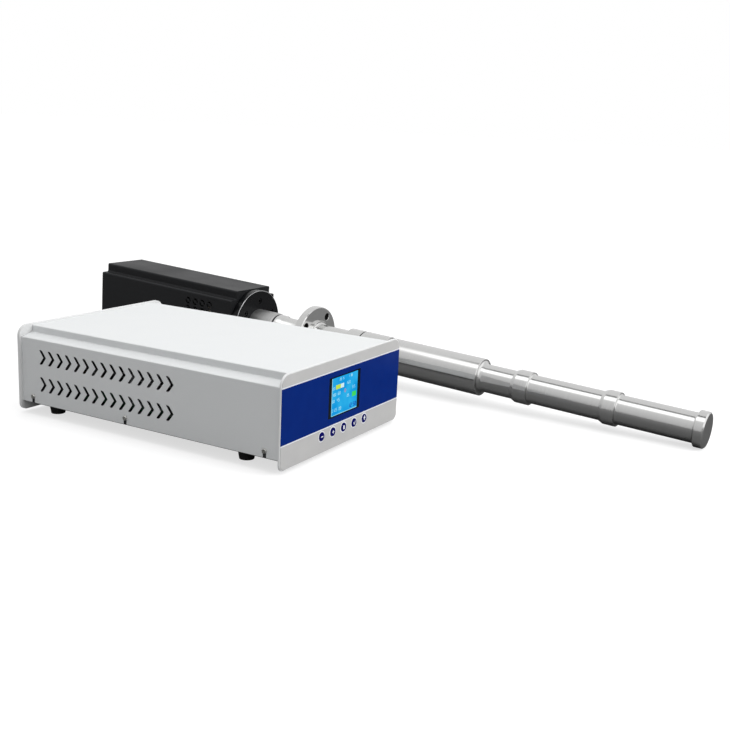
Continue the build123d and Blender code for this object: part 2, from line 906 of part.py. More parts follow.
# Fuse drawer: a small tray with a bed for the fuse that lies across it
fuse_place = moved(inlet_face, -fuse_length / 2, drawer_v, -drawer_depth / 2)
fuse_line = Plane(fuse_place.origin, x_dir=(0, 0, 1), z_dir=inlet_face.x_dir)
with BuildPart() as fuse_drawer:
    with BuildSketch(moved(inlet_face, 0, drawer_v, drawer_proud)):
        Rectangle(drawer_width, drawer_height)
    extrude(amount=-(drawer_proud + drawer_depth))
    with BuildSketch(moved(fuse_line, 0, 0, -fuse_gap)):
        Rectangle(drawer_height, 2 * (fuse_radius + fuse_gap), align=(Align.MIN, Align.CENTER))
        Circle(fuse_radius + fuse_gap)
    extrude(amount=fuse_length + 2 * fuse_gap, mode=Mode.SUBTRACT)
save(fuse_drawer, "fuse_drawer")

with BuildPart() as fuse_link:
    with BuildSketch(fuse_line):
        Circle(fuse_radius)
    extrude(amount=fuse_length)
save(fuse_link, "fuse_link")

# Rocker: a shallow V that tips about two trunnions, here in its off position
pivot_line = moved(
    Plane(inlet_face.origin, x_dir=inlet_face.x_dir, z_dir=(0, 0, 1)), 0, rocker_pivot_depth, rocker_v
)
with BuildPart() as power_rocker:
    with BuildSketch(pivot_line.rotated((0, 0, rocker_tilt))):
        with BuildLine():
            Polyline(
                (-rocker_half, -rocker_tip), (0, -rocker_saddle), (rocker_half, -rocker_tip),
                (rocker_half, rocker_skirt), (rocker_foot, rocker_heel),
                (-rocker_foot, rocker_heel), (-rocker_half, rocker_skirt), close=True,
            )
        make_face()
    extrude(amount=rocker_height / 2, both=True)
    with BuildSketch(pivot_line):
        Circle(trunnion)
    extrude(amount=rocker_height / 2 + trunnion_length, both=True)
save(power_rocker, "power_rocker")


def round_connector(face, wall, names):
    """Threaded shell with its nut, the insert in it and the contacts, on a wall's outer face."""
    shell_name, insert_name, contact_name = names
    back = wall + connector_body_depth
    with BuildPart() as contacts:
        with BuildSketch(moved(face, 0, 0, -back - contact_tail)):
            with PolarLocations(contact_circle, contact_count):
                Circle(contact_radius)
        extrude(amount=back + contact_tail + connector_length - contact_recess)
    save(contacts, contact_name)
    with BuildPart() as insert:
        with BuildSketch(moved(face, 0, 0, -back)):
            Circle(connector_bore - screw_fit)
        extrude(amount=back + connector_length - connector_insert_depth)
        add(contacts.part, mode=Mode.SUBTRACT)
    save(insert, insert_name)
    with BuildPart() as shell:
        with BuildSketch(moved(face, 0, 0, -back)):
            Circle(connector_shell)
            Circle(connector_bore, mode=Mode.SUBTRACT)
        extrude(amount=back + connector_length)
        with BuildSketch(face):
            Circle(connector_collar)
            Circle(connector_bore, mode=Mode.SUBTRACT)
        extrude(amount=connector_collar_thickness)
        with BuildSketch(moved(face, 0, 0, -wall)):
            RegularPolygon(connector_nut, 6, major_radius=False)
            Circle(connector_shell + screw_fit, mode=Mode.SUBTRACT)
        extrude(amount=-connector_nut_thickness)
    save(shell, shell_name)


round_connector(
    moved(facing_rear(generator_depth), connector_u, connector_z), rear_plate,
    ("output_socket", "output_insert", "output_contacts"),
)

# Earth terminal: a stud with a six-sided shoulder outside the rear panel and a nut inside it
earth_face = moved(facing_rear(generator_depth), connector_u, earth_z)
with BuildPart() as earth_terminal:
    with BuildSketch(moved(earth_face, 0, 0, -rear_plate - earth_nut_thickness * 2)):
        Circle(earth_stud)
    extrude(amount=rear_plate + earth_nut_thickness * 2 + earth_stud_length)
    with BuildSketch(earth_face):
        RegularPolygon(earth_nut_across / 2, 6, major_radius=False)
    extrude(amount=earth_nut_thickness)
    with BuildSketch(moved(earth_face, 0, 0, -rear_plate - earth_nut_thickness)):
        RegularPolygon(earth_nut_across / 2, 6, major_radius=False)
        Circle(earth_stud + screw_fit, mode=Mode.SUBTRACT)
    extrude(amount=earth_nut_thickness)
save(earth_terminal, "earth_terminal")

# Main board on its posts, with the power stage, the filter capacitors and the transformer
with BuildPart() as board_posts:
    with BuildSketch(facing_up(tray_floor)):
        with Locations(*board_post_places):
            RegularPolygon(standoff_across / 2, 6, major_radius=False)
    extrude(amount=main_board_lift)
    with BuildSketch(facing_up(tray_underside)):
        with Locations(*board_post_places):
            Circle(small_shank)
    extrude(amount=main_board_top - tray_underside)
    with BuildSketch(facing_up(main_board_top)):
        with Locations(*board_post_places):
            Circle(small_head)
    extrude(amount=small_head_height)
save(board_posts, "board_posts")

with BuildPart() as main_board:
    with BuildSketch(facing_up(main_board_bottom)):
        with Locations((0, main_board_front + main_board_length / 2)):
            Rectangle(main_board_width, main_board_length)
        with Locations(*board_post_places):
            Circle(small_shank + screw_fit, mode=Mode.SUBTRACT)
    extrude(amount=board_sheet)
save(main_board, "main_board")

sink_middle = main_board_top + sink_height / 2
with BuildPart() as heat_sink:
    with BuildSketch(facing_front(sink_y - sink_length / 2)):
        with Locations((sink_face, sink_middle)):
            Rectangle(sink_base, sink_height, align=(Align.MAX, Align.CENTER))
        with Locations((sink_x, sink_middle)):
            with GridLocations(1, (sink_height - fin_thickness) / (fin_count - 1), 1, fin_count):
                Rectangle(sink_width, fin_thickness)
    extrude(amount=-sink_length)
save(heat_sink, "heat_sink")

with BuildPart() as power_transistors:
    with BuildSketch(facing_side(sink_face)):
        with Locations((sink_y, sink_middle)):
            with GridLocations(transistor_pitch, 1, transistor_count, 1):
                Rectangle(transistor_width, transistor_height)
    extrude(amount=transistor_thickness)
save(power_transistors, "power_transistors")

with BuildPart() as filter_capacitors:
    with BuildSketch(facing_up(main_board_top)):
        with Locations((capacitor_x, capacitor_y)):
            with GridLocations(1, capacitor_pitch, 1, capacitor_count):
                Circle(capacitor_radius)
    extrude(amount=capacitor_height)
    chamfer(filter_capacitors.faces().group_by(Axis.Z)[-1].edges(), length=capacitor_edge)
save(filter_capacitors, "filter_capacitors")

core_middle = main_board_top + core_height / 2
window_size = (core_width - core_leg - 2 * core_yoke) / 2
winding_height = core_height - 2 * core_yoke - 2 * winding_gap
with BuildPart() as transformer_core:
    with BuildSketch(facing_front(core_y - core_depth / 2)):
        with Locations((core_x, core_middle)):
            Rectangle(core_width, core_height)
            with GridLocations(core_leg + window_size, 1, 2, 1):
                Rectangle(window_size, core_height - 2 * core_yoke, mode=Mode.SUBTRACT)
    extrude(amount=-core_depth)
save(transformer_core, "transformer_core")

with BuildPart() as transformer_winding:
    with BuildSketch(facing_up(core_middle - winding_height / 2)):
        with Locations((core_x, core_y)):
            RectangleRounded(
                core_leg + 2 * (window_size - winding_gap),
                core_depth + 2 * (window_size - winding_gap), window_size / 2,
            )
            Rectangle(
                core_leg + 2 * winding_gap, core_depth + 2 * winding_gap, mode=Mode.SUBTRACT
            )
    extrude(amount=winding_height)
save(transformer_winding, "transformer_winding")


def corners(profile, *places):
    """The corners of a profile nearest to the given places."""
    return [profile.vertices().sort_by_distance((x, y, 0))[0] for x, y in places]


# Sonotrode: one turned bar. Its collars sit half a wave apart, and each has a concave
# fillet on the side of the tip and a bevel with a small shoulder behind it
collar_points = []
for start, end in collar_spans:
    collar_points += [
        (start, rod_radius), (start, collar_radius), (end - collar_bevel, collar_radius),
        (end, rod_radius + collar_shoulder), (end, rod_radius),
    ]
joint_bore = stud_radius + stud_fit
joint_bore_depth = stud_reach + stud_end_gap / 2
with BuildPart() as sonotrode:
    with BuildSketch(along_probe()) as profile:
        with BuildLine():
            Polyline(
                (0, 0), (0, cap_radius), (cap_end, cap_radius), (cap_end, rod_radius),
                *collar_points,
                (barrel_start, rod_radius), (barrel_start, barrel_radius),
                (groove_start, barrel_radius), (groove_start, barrel_radius - groove_depth),
                (groove_start + groove_width, barrel_radius - groove_depth),
                (groove_start + groove_width, rear_barrel_radius),
                (sonotrode_end, rear_barrel_radius), (sonotrode_end, joint_bore),
                (sonotrode_end - joint_bore_depth, joint_bore),
                (sonotrode_end - joint_bore_depth, 0), close=True,
            )
        make_face()
        roots = [(cap_end, rod_radius)] + [(start, rod_radius) for start, end in collar_spans]
        fillet(corners(profile, *roots), radius=root_fillet)
        fillet(corners(profile, (barrel_start, rod_radius)), radius=barrel_fillet)
        rims = [(0, cap_radius), (cap_end, cap_radius), (barrel_start, barrel_radius)]
        rims += [(start, collar_radius) for start, end in collar_spans]
        chamfer(corners(profile, *rims), length=edge_break)
        chamfer(corners(profile, (sonotrode_end, rear_barrel_radius)), length=joint_chamfer)
    revolve(axis=turning_axis)
save(sonotrode, "sonotrode")

# Flanged horn: the drilled flange sits at the node, where the horn stands still
with BuildPart() as flanged_horn:
    with BuildSketch(along_probe()) as profile:
        with BuildLine():
            Polyline(
                (sonotrode_end, joint_bore), (sonotrode_end, rear_barrel_radius),
                (horn_collar_end, rear_barrel_radius), (horn_collar_end, horn_shaft),
                (horn_boss_start, horn_shaft), (horn_boss_start, horn_boss),
                (flange_start, horn_boss), (flange_start, flange_radius),
                (flange_end, flange_radius), (flange_end, horn_rear_shaft),
                (horn_rear_step, horn_rear_shaft), (horn_rear_step + horn_rear_cone, horn_rear_radius),
                (horn_end, horn_rear_radius), (horn_end, joint_bore),
                (horn_end - joint_bore_depth, joint_bore), (horn_end - joint_bore_depth, 0),
                (sonotrode_end + joint_bore_depth, 0),
                (sonotrode_end + joint_bore_depth, joint_bore), close=True,
            )
        make_face()
        fillet(
            corners(profile, (horn_collar_end, horn_shaft), (horn_boss_start, horn_shaft),
                    (flange_end, horn_rear_shaft)),
            radius=horn_shaft_fillet,
        )
        chamfer(
            corners(profile, (sonotrode_end, rear_barrel_radius), (horn_end, horn_rear_radius)),
            length=joint_chamfer,
        )
        chamfer(
            corners(profile, (horn_collar_end, rear_barrel_radius), (horn_boss_start, horn_boss),
                    (flange_start, flange_radius), (flange_end, flange_radius)),
            length=edge_break,
        )
    revolve(axis=turning_axis)
    with BuildSketch(across_probe(flange_start)):
        with PolarLocations(flange_bolt_circle / 2, flange_bolts, start_angle=flange_bolt_angle):
            Circle(flange_bolt_hole)
    extrude(amount=flange_thickness, mode=Mode.SUBTRACT)
save(flanged_horn, "flanged_horn")

with BuildPart() as coupling_studs:
    for joint in (sonotrode_end, horn_end):
        with BuildSketch(across_probe(joint)):
            Circle(stud_radius)
        extrude(amount=stud_reach - stud_end_gap / 2, both=True)
save(coupling_studs, "coupling_studs")

# Front mass: the stub in front of the disc, the clamp ring behind it, the block inside
clamp_places = [
    (clamp_screw_circle * cos(radians(clamp_screw_angle + turn)),
     clamp_screw_circle * sin(radians(clamp_screw_angle + turn)))
    for turn in range(0, 360, 360 // clamp_screws_count)
]
disc_screw_places = [
    (disc_screw_circle * cos(radians(turn)), disc_screw_circle * sin(radians(turn)))
    for turn in disc_screw_angles
]
boss_places = [(x * boss_u, y * boss_v) for x in (-1, 1) for y in (-1, 1)]

with BuildPart() as front_mass:
    with BuildSketch(along_probe()) as profile:
        with BuildLine():
            Polyline(
                (horn_end, joint_bore), (horn_end, stub_radius), (housing_start, stub_radius),
                (housing_start, clamp_ring_radius), (clamp_ring_end, clamp_ring_radius),
                (clamp_ring_end, front_mass_radius), (front_mass_end, front_mass_radius),
                (front_mass_end, joint_bore), (front_mass_end - bolt_reach - stud_end_gap, joint_bore),
                (front_mass_end - bolt_reach - stud_end_gap, 0),
                (horn_end + joint_bore_depth, 0), (horn_end + joint_bore_depth, joint_bore),
                close=True,
            )
        make_face()
        chamfer(corners(profile, (horn_end, stub_radius)), length=joint_chamfer)
        chamfer(corners(profile, (front_mass_end, front_mass_radius)), length=edge_break)
    revolve(axis=turning_axis)
    with BuildSketch(across_probe(housing_start)):
        with Locations(*clamp_places):
            Circle(clamp_shank + screw_fit)
    extrude(amount=clamp_ring_thickness, mode=Mode.SUBTRACT)
save(front_mass, "front_mass")

# Ceramic rings with an electrode behind each, its tab turned aside on every other one
with BuildPart() as piezo_rings:
    for ring in range(piezo_count):
        with BuildSketch(across_probe(front_mass_end + ring * piezo_pitch)):
            Circle(piezo_outer)
            Circle(piezo_inner, mode=Mode.SUBTRACT)
        extrude(amount=piezo_thickness)
save(piezo_rings, "piezo_rings")

with BuildPart() as electrodes:
    for ring in range(piezo_count):
        with BuildSketch(across_probe(front_mass_end + ring * piezo_pitch + piezo_thickness)):
            Circle(piezo_outer)
            Rectangle(electrode_tab_reach, electrode_tab, rotation=90 - electrode_turn * (ring % 2),
                      align=(Align.MIN, Align.CENTER))
            Circle(piezo_inner, mode=Mode.SUBTRACT)
        extrude(amount=electrode_thickness)
save(electrodes, "electrodes")

with BuildPart() as back_mass:
    with BuildSketch(across_probe(back_mass_start)):
        Circle(piezo_outer)
        Circle(joint_bore, mode=Mode.SUBTRACT)
    extrude(amount=back_mass_length)
    chamfer(back_mass.edges().filter_by(GeomType.CIRCLE).group_by(SortBy.RADIUS)[-1],
            length=edge_break)
save(back_mass, "back_mass")

with BuildPart() as prestress_bolt:
    with BuildSketch(across_probe(back_mass_end)):
        Circle(bolt_head_radius)
    extrude(amount=bolt_head_height)
    with BuildSketch(across_probe(back_mass_end)):
        Circle(stud_radius)
    extrude(amount=front_mass_end - bolt_reach - back_mass_end)
    with BuildSketch(across_probe(back_mass_end + bolt_head_height)):
        RegularPolygon(bolt_socket, 6)
    extrude(amount=-bolt_socket_depth, mode=Mode.SUBTRACT)
save(prestress_bolt, "prestress_bolt")


def facing_tip(station):
    """Plane square to the probe's axis, looking to the tip, with up still up."""
    return Plane(probe_tip + probe_axis * station, x_dir=-probe_side, z_dir=-probe_axis)


def turned(places):
    """The same places as seen from the tip."""
    return [(-u, v) for u, v in places]


# End disc: closes the housing's front and clamps the front mass by its ring
with BuildPart() as end_disc:
    with BuildSketch(across_probe(disc_start)):
        Circle(disc_radius)
        Circle(stub_radius + disc_bore_gap, mode=Mode.SUBTRACT)
        with Locations(*clamp_places):
            Circle(clamp_shank + screw_fit, mode=Mode.SUBTRACT)
        with Locations(*disc_screw_places):
            Circle(disc_screw_shank + screw_fit, mode=Mode.SUBTRACT)
    extrude(amount=disc_thickness)
    chamfer(end_disc.edges().filter_by(GeomType.CIRCLE).group_by(SortBy.RADIUS)[-1],
            length=disc_edge)
    with BuildSketch(across_probe(disc_start)):
        with Locations(*clamp_places):
            Circle(clamp_bore)
    extrude(amount=clamp_bore_depth, mode=Mode.SUBTRACT)
    for place in disc_screw_places:
        with BuildSketch(moved(across_probe(disc_start), *place)):
            Circle(countersink + screw_fit)
        with BuildSketch(moved(across_probe(disc_start), *place, countersink - disc_screw_shank)):
            Circle(disc_screw_shank + screw_fit)
        loft(mode=Mode.SUBTRACT)
save(end_disc, "end_disc")

clamp_screws = screws(
    facing_tip(disc_start + clamp_bore_depth), turned(clamp_places), clamp_head,
    clamp_head_height, clamp_shank, disc_thickness - clamp_bore_depth + clamp_ring_thickness,
)
save(clamp_screws, "clamp_screws")

disc_screws = flush_screws(
    facing_tip(disc_start), turned(disc_screw_places), countersink, disc_screw_shank,
    disc_thickness + clamp_ring_thickness,
)
save(disc_screws, "disc_screws")


def housing_section(inset):
    """Outline of the housing with its four notched corners, drawn in by the inset."""
    side = housing_half_width - inset
    crown = housing_half_height - inset
    top = housing_top_half - inset
    step = housing_ledge - inset
    return [
        (-top, crown), (top, crown), (top, step), (side, step), (side, -step), (top, -step),
        (top, -crown), (-top, -crown), (-top, -step), (-side, -step), (-side, step), (-top, step),
    ]


with BuildPart() as housing_front_plate:
    with BuildSketch(across_probe(housing_start)):
        with BuildLine():
            Polyline(*housing_section(housing_wall + end_plate_gap), close=True)
        make_face()
        Circle(clamp_ring_radius + front_plate_bore_gap, mode=Mode.SUBTRACT)
        with Locations(*disc_screw_places, *boss_places):
            Circle(small_shank + screw_fit, mode=Mode.SUBTRACT)
    extrude(amount=clamp_ring_thickness)
    for place in boss_places:
        with BuildSketch(moved(across_probe(housing_start), *place)):
            Circle(countersink + screw_fit)
        with BuildSketch(moved(across_probe(housing_start), *place, countersink - small_shank)):
            Circle(small_shank + screw_fit)
        loft(mode=Mode.SUBTRACT)
save(housing_front_plate, "housing_front_plate")

front_plate_screws = flush_screws(
    facing_tip(housing_start), turned(boss_places), countersink, small_shank,
    clamp_ring_thickness + small_reach,
)
save(front_plate_screws, "front_plate_screws")

# Housing: an extruded shell with a screw boss in each notch and ring-shaped vents
with BuildSketch() as vent:
    RegularPolygon(vent_outer, vent_sides)
    RegularPolygon(vent_inner, vent_sides, mode=Mode.SUBTRACT)
    Rectangle(3 * vent_outer, vent_bridge, rotation=vent_turn, mode=Mode.SUBTRACT)

with BuildPart() as transducer_housing:
    with BuildSketch(across_probe(housing_start)) as section:
        with BuildLine():
            Polyline(*housing_section(0), close=True)
        make_face()
        fillet(section.vertices(), radius=housing_edge)
        with BuildLine():
            Polyline(*housing_section(housing_wall), close=True)
        make_face(mode=Mode.SUBTRACT)
    extrude(amount=housing_length)
    with BuildSketch(across_probe(clamp_ring_end)):
        with Locations(*boss_places):
            Circle(boss_radius)
    extrude(amount=housing_length - clamp_ring_thickness - rear_cover_thickness)
    with BuildSketch(across_probe(clamp_ring_end)):
        with Locations(*boss_places):
            Circle(small_shank + screw_fit)
    extrude(amount=housing_length, mode=Mode.SUBTRACT)
    with BuildSketch(along_probe(vent_middle)):
        with GridLocations(vent_pitch, vent_row_pitch, vent_columns, vent_rows):
            add(vent.sketch)
    extrude(amount=2 * housing_half_width, both=True, mode=Mode.SUBTRACT)
save(transducer_housing, "transducer_housing")

with BuildPart() as housing_rear_cover:
    with BuildSketch(across_probe(housing_end)):
        with BuildLine():
            Polyline(*housing_section(housing_wall + end_plate_gap), close=True)
        make_face()
        Circle(connector_shell + inlet_gap, mode=Mode.SUBTRACT)
        with Locations(*boss_places):
            Circle(small_shank + screw_fit, mode=Mode.SUBTRACT)
    extrude(amount=-rear_cover_thickness)
save(housing_rear_cover, "housing_rear_cover")

rear_cover_screws = screws(
    across_probe(housing_end), boss_places, small_head, small_head_height, small_shank,
    rear_cover_thickness + small_reach,
)
save(rear_cover_screws, "rear_cover_screws")

round_connector(
    across_probe(housing_end), rear_cover_thickness,
    ("transducer_socket", "transducer_insert", "transducer_contacts"),
)
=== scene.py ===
from math import atan2, cos, pi, radians, sin, sqrt

import bmesh
import bpy
import numpy as np
from mathutils import Matrix, Vector


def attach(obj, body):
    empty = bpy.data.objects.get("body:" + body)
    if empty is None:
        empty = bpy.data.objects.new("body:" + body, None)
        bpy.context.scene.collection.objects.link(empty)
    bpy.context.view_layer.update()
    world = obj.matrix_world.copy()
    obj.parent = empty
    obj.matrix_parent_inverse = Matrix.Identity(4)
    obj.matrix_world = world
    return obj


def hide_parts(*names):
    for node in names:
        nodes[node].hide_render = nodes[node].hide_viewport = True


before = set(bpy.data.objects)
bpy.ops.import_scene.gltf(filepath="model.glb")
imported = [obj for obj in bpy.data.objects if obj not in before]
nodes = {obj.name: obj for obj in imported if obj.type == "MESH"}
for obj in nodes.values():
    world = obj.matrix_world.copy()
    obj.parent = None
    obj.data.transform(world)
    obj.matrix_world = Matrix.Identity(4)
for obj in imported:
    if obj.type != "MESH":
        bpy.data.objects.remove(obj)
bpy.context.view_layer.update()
mm = 0.001
weld = 2e-6  # points nearer to each other than this become one
print("frame loaded:", len(nodes), "nodes")

# The two units: where the generator's front face is, and how the probe lies
generator = {"middle": -126.2, "front": -152.2, "depth": 405, "coverSide": 131.7}
probe = {"tip": (150.9, -521.1), "heading": 3.36, "capRadius": 24.1, "halfHeight": 56.3,
         "housingStart": 742.5, "housingEnd": 1034.3}
probeRise = atan2(probe["halfHeight"] - probe["capRadius"], probe["housingStart"])
probeTip = np.array([*probe["tip"], probe["capRadius"] * cos(probeRise)])
probeTurn = radians(probe["heading"])
probeAxis = np.array([sin(probeTurn) * cos(probeRise), cos(probeTurn) * cos(probeRise), sin(probeRise)])
probeSide = np.array([-cos(probeTurn), sin(probeTurn), 0.0])
materials = {}  # filled below, by name


# Surfaces
def addObject(name, data):
    made = bpy.data.objects.new(name, data)
    bpy.context.scene.collection.objects.link(made)
    return made


def gridPiece(name, grids, material, body, wrapColumns=False, sharp=40, closed=True):
    # Point p[i, j] of each grid joins p[i + 1, j], p[i + 1, j + 1] and p[i, j + 1] in one face;
    # wrapColumns joins the last column to the first
    vertices = []
    faces = []
    start = 0
    for grid in grids:
        rows, columns = grid.shape[:2]
        index = np.arange(rows * columns).reshape(rows, columns) + start
        if wrapColumns:
            index = np.hstack((index, index[:, :1]))
        quads = np.stack((index[:-1, :-1], index[1:, :-1], index[1:, 1:], index[:-1, 1:]), axis=-1)
        vertices.append(grid.reshape(-1, 3))
        faces.append(quads.reshape(-1, 4))
        start += rows * columns
    mesh = bpy.data.meshes.new(name)
    mesh.from_pydata((np.concatenate(vertices) * mm).tolist(), [], np.concatenate(faces).tolist())
    shape = bmesh.new()
    shape.from_mesh(mesh)
    bmesh.ops.remove_doubles(shape, verts=shape.verts, dist=weld)  # closes seams and poles
    if closed:
        bmesh.ops.recalc_face_normals(shape, faces=shape.faces)
    shape.to_mesh(mesh)
    shape.free()
    mesh.shade_smooth()
    mesh.set_sharp_from_angle(angle=radians(sharp))
    mesh.materials.append(materials[material])
    piece = addObject(name, mesh)
    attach(piece, body)
    return piece


def roundedProfile(corners, radii, steps=6):
    # Replaces corner k by an arc of radius radii[k] that touches both of its sides;
    # a negative value cuts the corner straight at that distance
    corners = np.array(corners, float)
    points = []
    for k, corner in enumerate(corners):
        radius = radii.get(k, 0)
        if radius == 0 or k in (0, len(corners) - 1):
            points.append(corner)
            continue
        before = corners[k - 1] - corner
        after = corners[k + 1] - corner
        before /= np.linalg.norm(before)
        after /= np.linalg.norm(after)
        if radius < 0:
            points += [corner - before * radius, corner - after * radius]
            continue
        half = np.arccos(np.clip(before @ after, -1, 1)) / 2
        middle = (before + after) / np.linalg.norm(before + after)
        centre = corner + middle * radius / sin(half)
        first = corner + before * radius / np.tan(half) - centre
        last = corner + after * radius / np.tan(half) - centre
        share = np.linspace(0, 1, steps + 1)[:, None]
        arc = first * (1 - share) + last * share
        arc *= radius / np.linalg.norm(arc, axis=1)[:, None]
        points += list(centre + arc)
    return np.array(points)


def turnedGrid(profile, origin, axis, side, segments=96, outline=None):
    # Profile point (station, radius) turned by angle a about the axis:
    # origin + station * axis + radius * (cos a * side + sin a * up). Where a third value is 1 the
    # radius is multiplied by the outline's factor at a, which makes a hexagon or a cross
    origin, axis, side = (np.array(v, float) for v in (origin, axis, side))
    up = np.cross(axis, side)
    angle = np.linspace(0, 2 * pi, segments, endpoint=False)
    profile = np.array(profile, float)
    radius = np.repeat(profile[:, 1:2], segments, axis=1)
    if outline is not None:
        radius *= 1 + profile[:, 2:3] * (outline(angle)[None, :] - 1)
    ring = np.cos(angle)[:, None] * side + np.sin(angle)[:, None] * up
    return origin + profile[:, 0][:, None, None] * axis + radius[:, :, None] * ring[None]


def hexagon(angle):
    # Distance to a hexagon's side over the distance to the middle of that side
    return 1 / np.cos((angle % (pi / 3)) - pi / 6)


def cross(angle, arm=0.30):
    # Outline of a cross: the nearer of the arm's end and of its side, arm wide on each side
    lean = np.abs((angle + pi / 4) % (pi / 2) - pi / 4)
    return np.minimum(1, arm / np.maximum(np.sin(lean), 1e-3))


def carried(path, section, up, closed=False):
    # Section point (sideways, upwards) carried along the path, with mitred corners
    path = np.array(path, float)
    up = np.array(up, float)
    forward = np.roll(path, -1, axis=0) - path
    backward = path - np.roll(path, 1, axis=0)
    if not closed:
        forward[-1] = backward[-1]
        backward[0] = forward[0]
    forward /= np.linalg.norm(forward, axis=1)[:, None]
    backward /= np.linalg.norm(backward, axis=1)[:, None]
    along = forward + backward
    along /= np.linalg.norm(along, axis=1)[:, None]
    mitre = 1 / np.maximum((along * forward).sum(axis=1), 0.3)
    sideways = np.cross(along, up)
    section = np.array(section, float)
    return (path[:, None] + sideways[:, None] * section[None, :, :1] * mitre[:, None, None]
            + up[None, None] * section[None, :, 1:2])


# Places on the two units
def onFront(x, z, out=0.0):
    # From the middle of the panel's width, the bench and the film's face
    return np.array([generator["middle"] + x, generator["front"] - out, z], float)


def onRear(u, z, out=0.0):
    # The same behind, with u to the right as seen from there
    return np.array([generator["middle"] - u, generator["front"] + generator["depth"] + out, z], float)


def onProbe(station, u=0.0, v=0.0):
    up = np.cross(probeAxis, probeSide)
    return probeTip + probeAxis * station + probeSide * u + up * v


# Materials
def setInputs(tree, node, inputs):
    # A socket is linked to the input, any other value is set on it
    for key, value in inputs.items():
        if isinstance(value, bpy.types.NodeSocket):
            tree.links.new(value, node.inputs[key])
        else:
            node.inputs[key].default_value = value


def nodeIn(tree, kind, inputs=None, **settings):
    node = tree.nodes.new(kind)
    for key, value in settings.items():
        setattr(node, key, value)
    setInputs(tree, node, inputs or {})
    return node


def maths(tree, operation, first, second=0.0, clamp=False):
    return nodeIn(tree, "ShaderNodeMath", {0: first, 1: second}, operation=operation,
                  use_clamp=clamp).outputs[0]


def weighted(tree, first, firstShare, second, secondShare):
    return maths(tree, "ADD", maths(tree, "MULTIPLY", first, firstShare),
                 maths(tree, "MULTIPLY", second, secondShare))


def within(tree, value, low, high):
    # 1 between the two limits in millimetres, 0 outside them
    away = maths(tree, "ABSOLUTE", maths(tree, "SUBTRACT", value, (low + high) / 2 * mm))
    return maths(tree, "LESS_THAN", away, (high - low) / 2 * mm)


def ramp(tree, value, low, high, start=0.0, end=1.0):
    return nodeIn(tree, "ShaderNodeMapRange", {"Value": value, "From Min": low, "From Max": high,
                                               "To Min": start, "To Max": end}).outputs[0]


def mixed(tree, factor, first, second):
    # A colour given by three values is made opaque
    first, second = (v if isinstance(v, bpy.types.NodeSocket) else (*v, 1) for v in (first, second))
    node = nodeIn(tree, "ShaderNodeMix", {"Factor": factor, "A": first, "B": second}, data_type="RGBA")
    return node.outputs["Result"]


def noise(tree, vector, **values):
    return nodeIn(tree, "ShaderNodeTexNoise", {"Vector": vector, **values}).outputs[0]


def ringNoise(tree, along, fine, detail):
    # Noise that changes along one length only, which makes rings round a turned bar
    inputs = {"W": maths(tree, "MULTIPLY", along, fine), "Scale": 1.0, "Detail": detail}
    return nodeIn(tree, "ShaderNodeTexNoise", inputs, noise_dimensions="1D").outputs[0]


def axisParts(tree, vector):
    return nodeIn(tree, "ShaderNodeSeparateXYZ", {0: vector}).outputs


def newGroup(name, outputs, **values):
    # A group takes a vector and named numbers, and puts out numbers
    group = bpy.data.node_groups.new(name, "ShaderNodeTree")
    group.interface.new_socket("Vector", in_out="INPUT", socket_type="NodeSocketVector")
    for socket, value in values.items():
        made = group.interface.new_socket(socket, in_out="INPUT", socket_type="NodeSocketFloat")
        made.default_value = value
    for socket in outputs:
        group.interface.new_socket(socket, in_out="OUTPUT", socket_type="NodeSocketFloat")
    return group, nodeIn(group, "NodeGroupInput").outputs, nodeIn(group, "NodeGroupOutput")


# Powder coat: orange-peel waviness, fine grain, and sparse darker flecks
coatShares = {"peel": 0.6, "grain": 0.4, "flecks": (0.60, 0.72), "cloud": (0.35, 0.65)}
coatGroup, coatIn, coatOut = newGroup("powderCoat", ("Height", "Flecks", "Cloud"), Grain=1400.0)
peel = noise(coatGroup, coatIn["Vector"], Scale=420.0, Detail=2.0)
grain = noise(coatGroup, coatIn["Vector"], Scale=coatIn["Grain"], Detail=3.0, Roughness=0.6)
cloud = noise(coatGroup, coatIn["Vector"], Scale=9.0, Detail=4.0)
setInputs(coatGroup, coatOut, {
    "Height": weighted(coatGroup, peel, coatShares["peel"], grain, coatShares["grain"]),
    "Flecks": ramp(coatGroup, grain, *coatShares["flecks"]),
    "Cloud": ramp(coatGroup, cloud, *coatShares["cloud"])})

# Turned metal: fine rings along X of the vector, some of them broken, and faint handling marks
ringShares = {"fine": 0.55, "broken": 0.45, "brokenTone": 0.6, "tone": (0.3, 1.3), "marks": (0.45, 0.7)}
turnedGroup, turnedIn, turnedOut = newGroup("turnedMetal", ("Height", "Tone", "Marks"), Fine=2600.0)
turnedAlong = axisParts(turnedGroup, turnedIn["Vector"])["X"]
fineRings = ringNoise(turnedGroup, turnedAlong, turnedIn["Fine"], 3.0)
broadRings = ringNoise(turnedGroup, turnedAlong, 700.0, 4.0)
stretched = nodeIn(turnedGroup, "ShaderNodeMapping",
                   {"Vector": turnedIn["Vector"], "Scale": (900.0, 30.0, 30.0)})
brokenRings = noise(turnedGroup, stretched.outputs[0], Scale=1.0, Detail=2.0)
handling = noise(turnedGroup, turnedIn["Vector"], Scale=26.0, Detail=5.0, Roughness=0.65, Distortion=0.4)
ringTone = weighted(turnedGroup, broadRings, 1.0, brokenRings, ringShares["brokenTone"])
setInputs(turnedGroup, turnedOut, {
    "Height": weighted(turnedGroup, fineRings, ringShares["fine"], brokenRings, ringShares["broken"]),
    "Tone": ramp(turnedGroup, ringTone, *ringShares["tone"]),
    "Marks": ramp(turnedGroup, handling, *ringShares["marks"])})

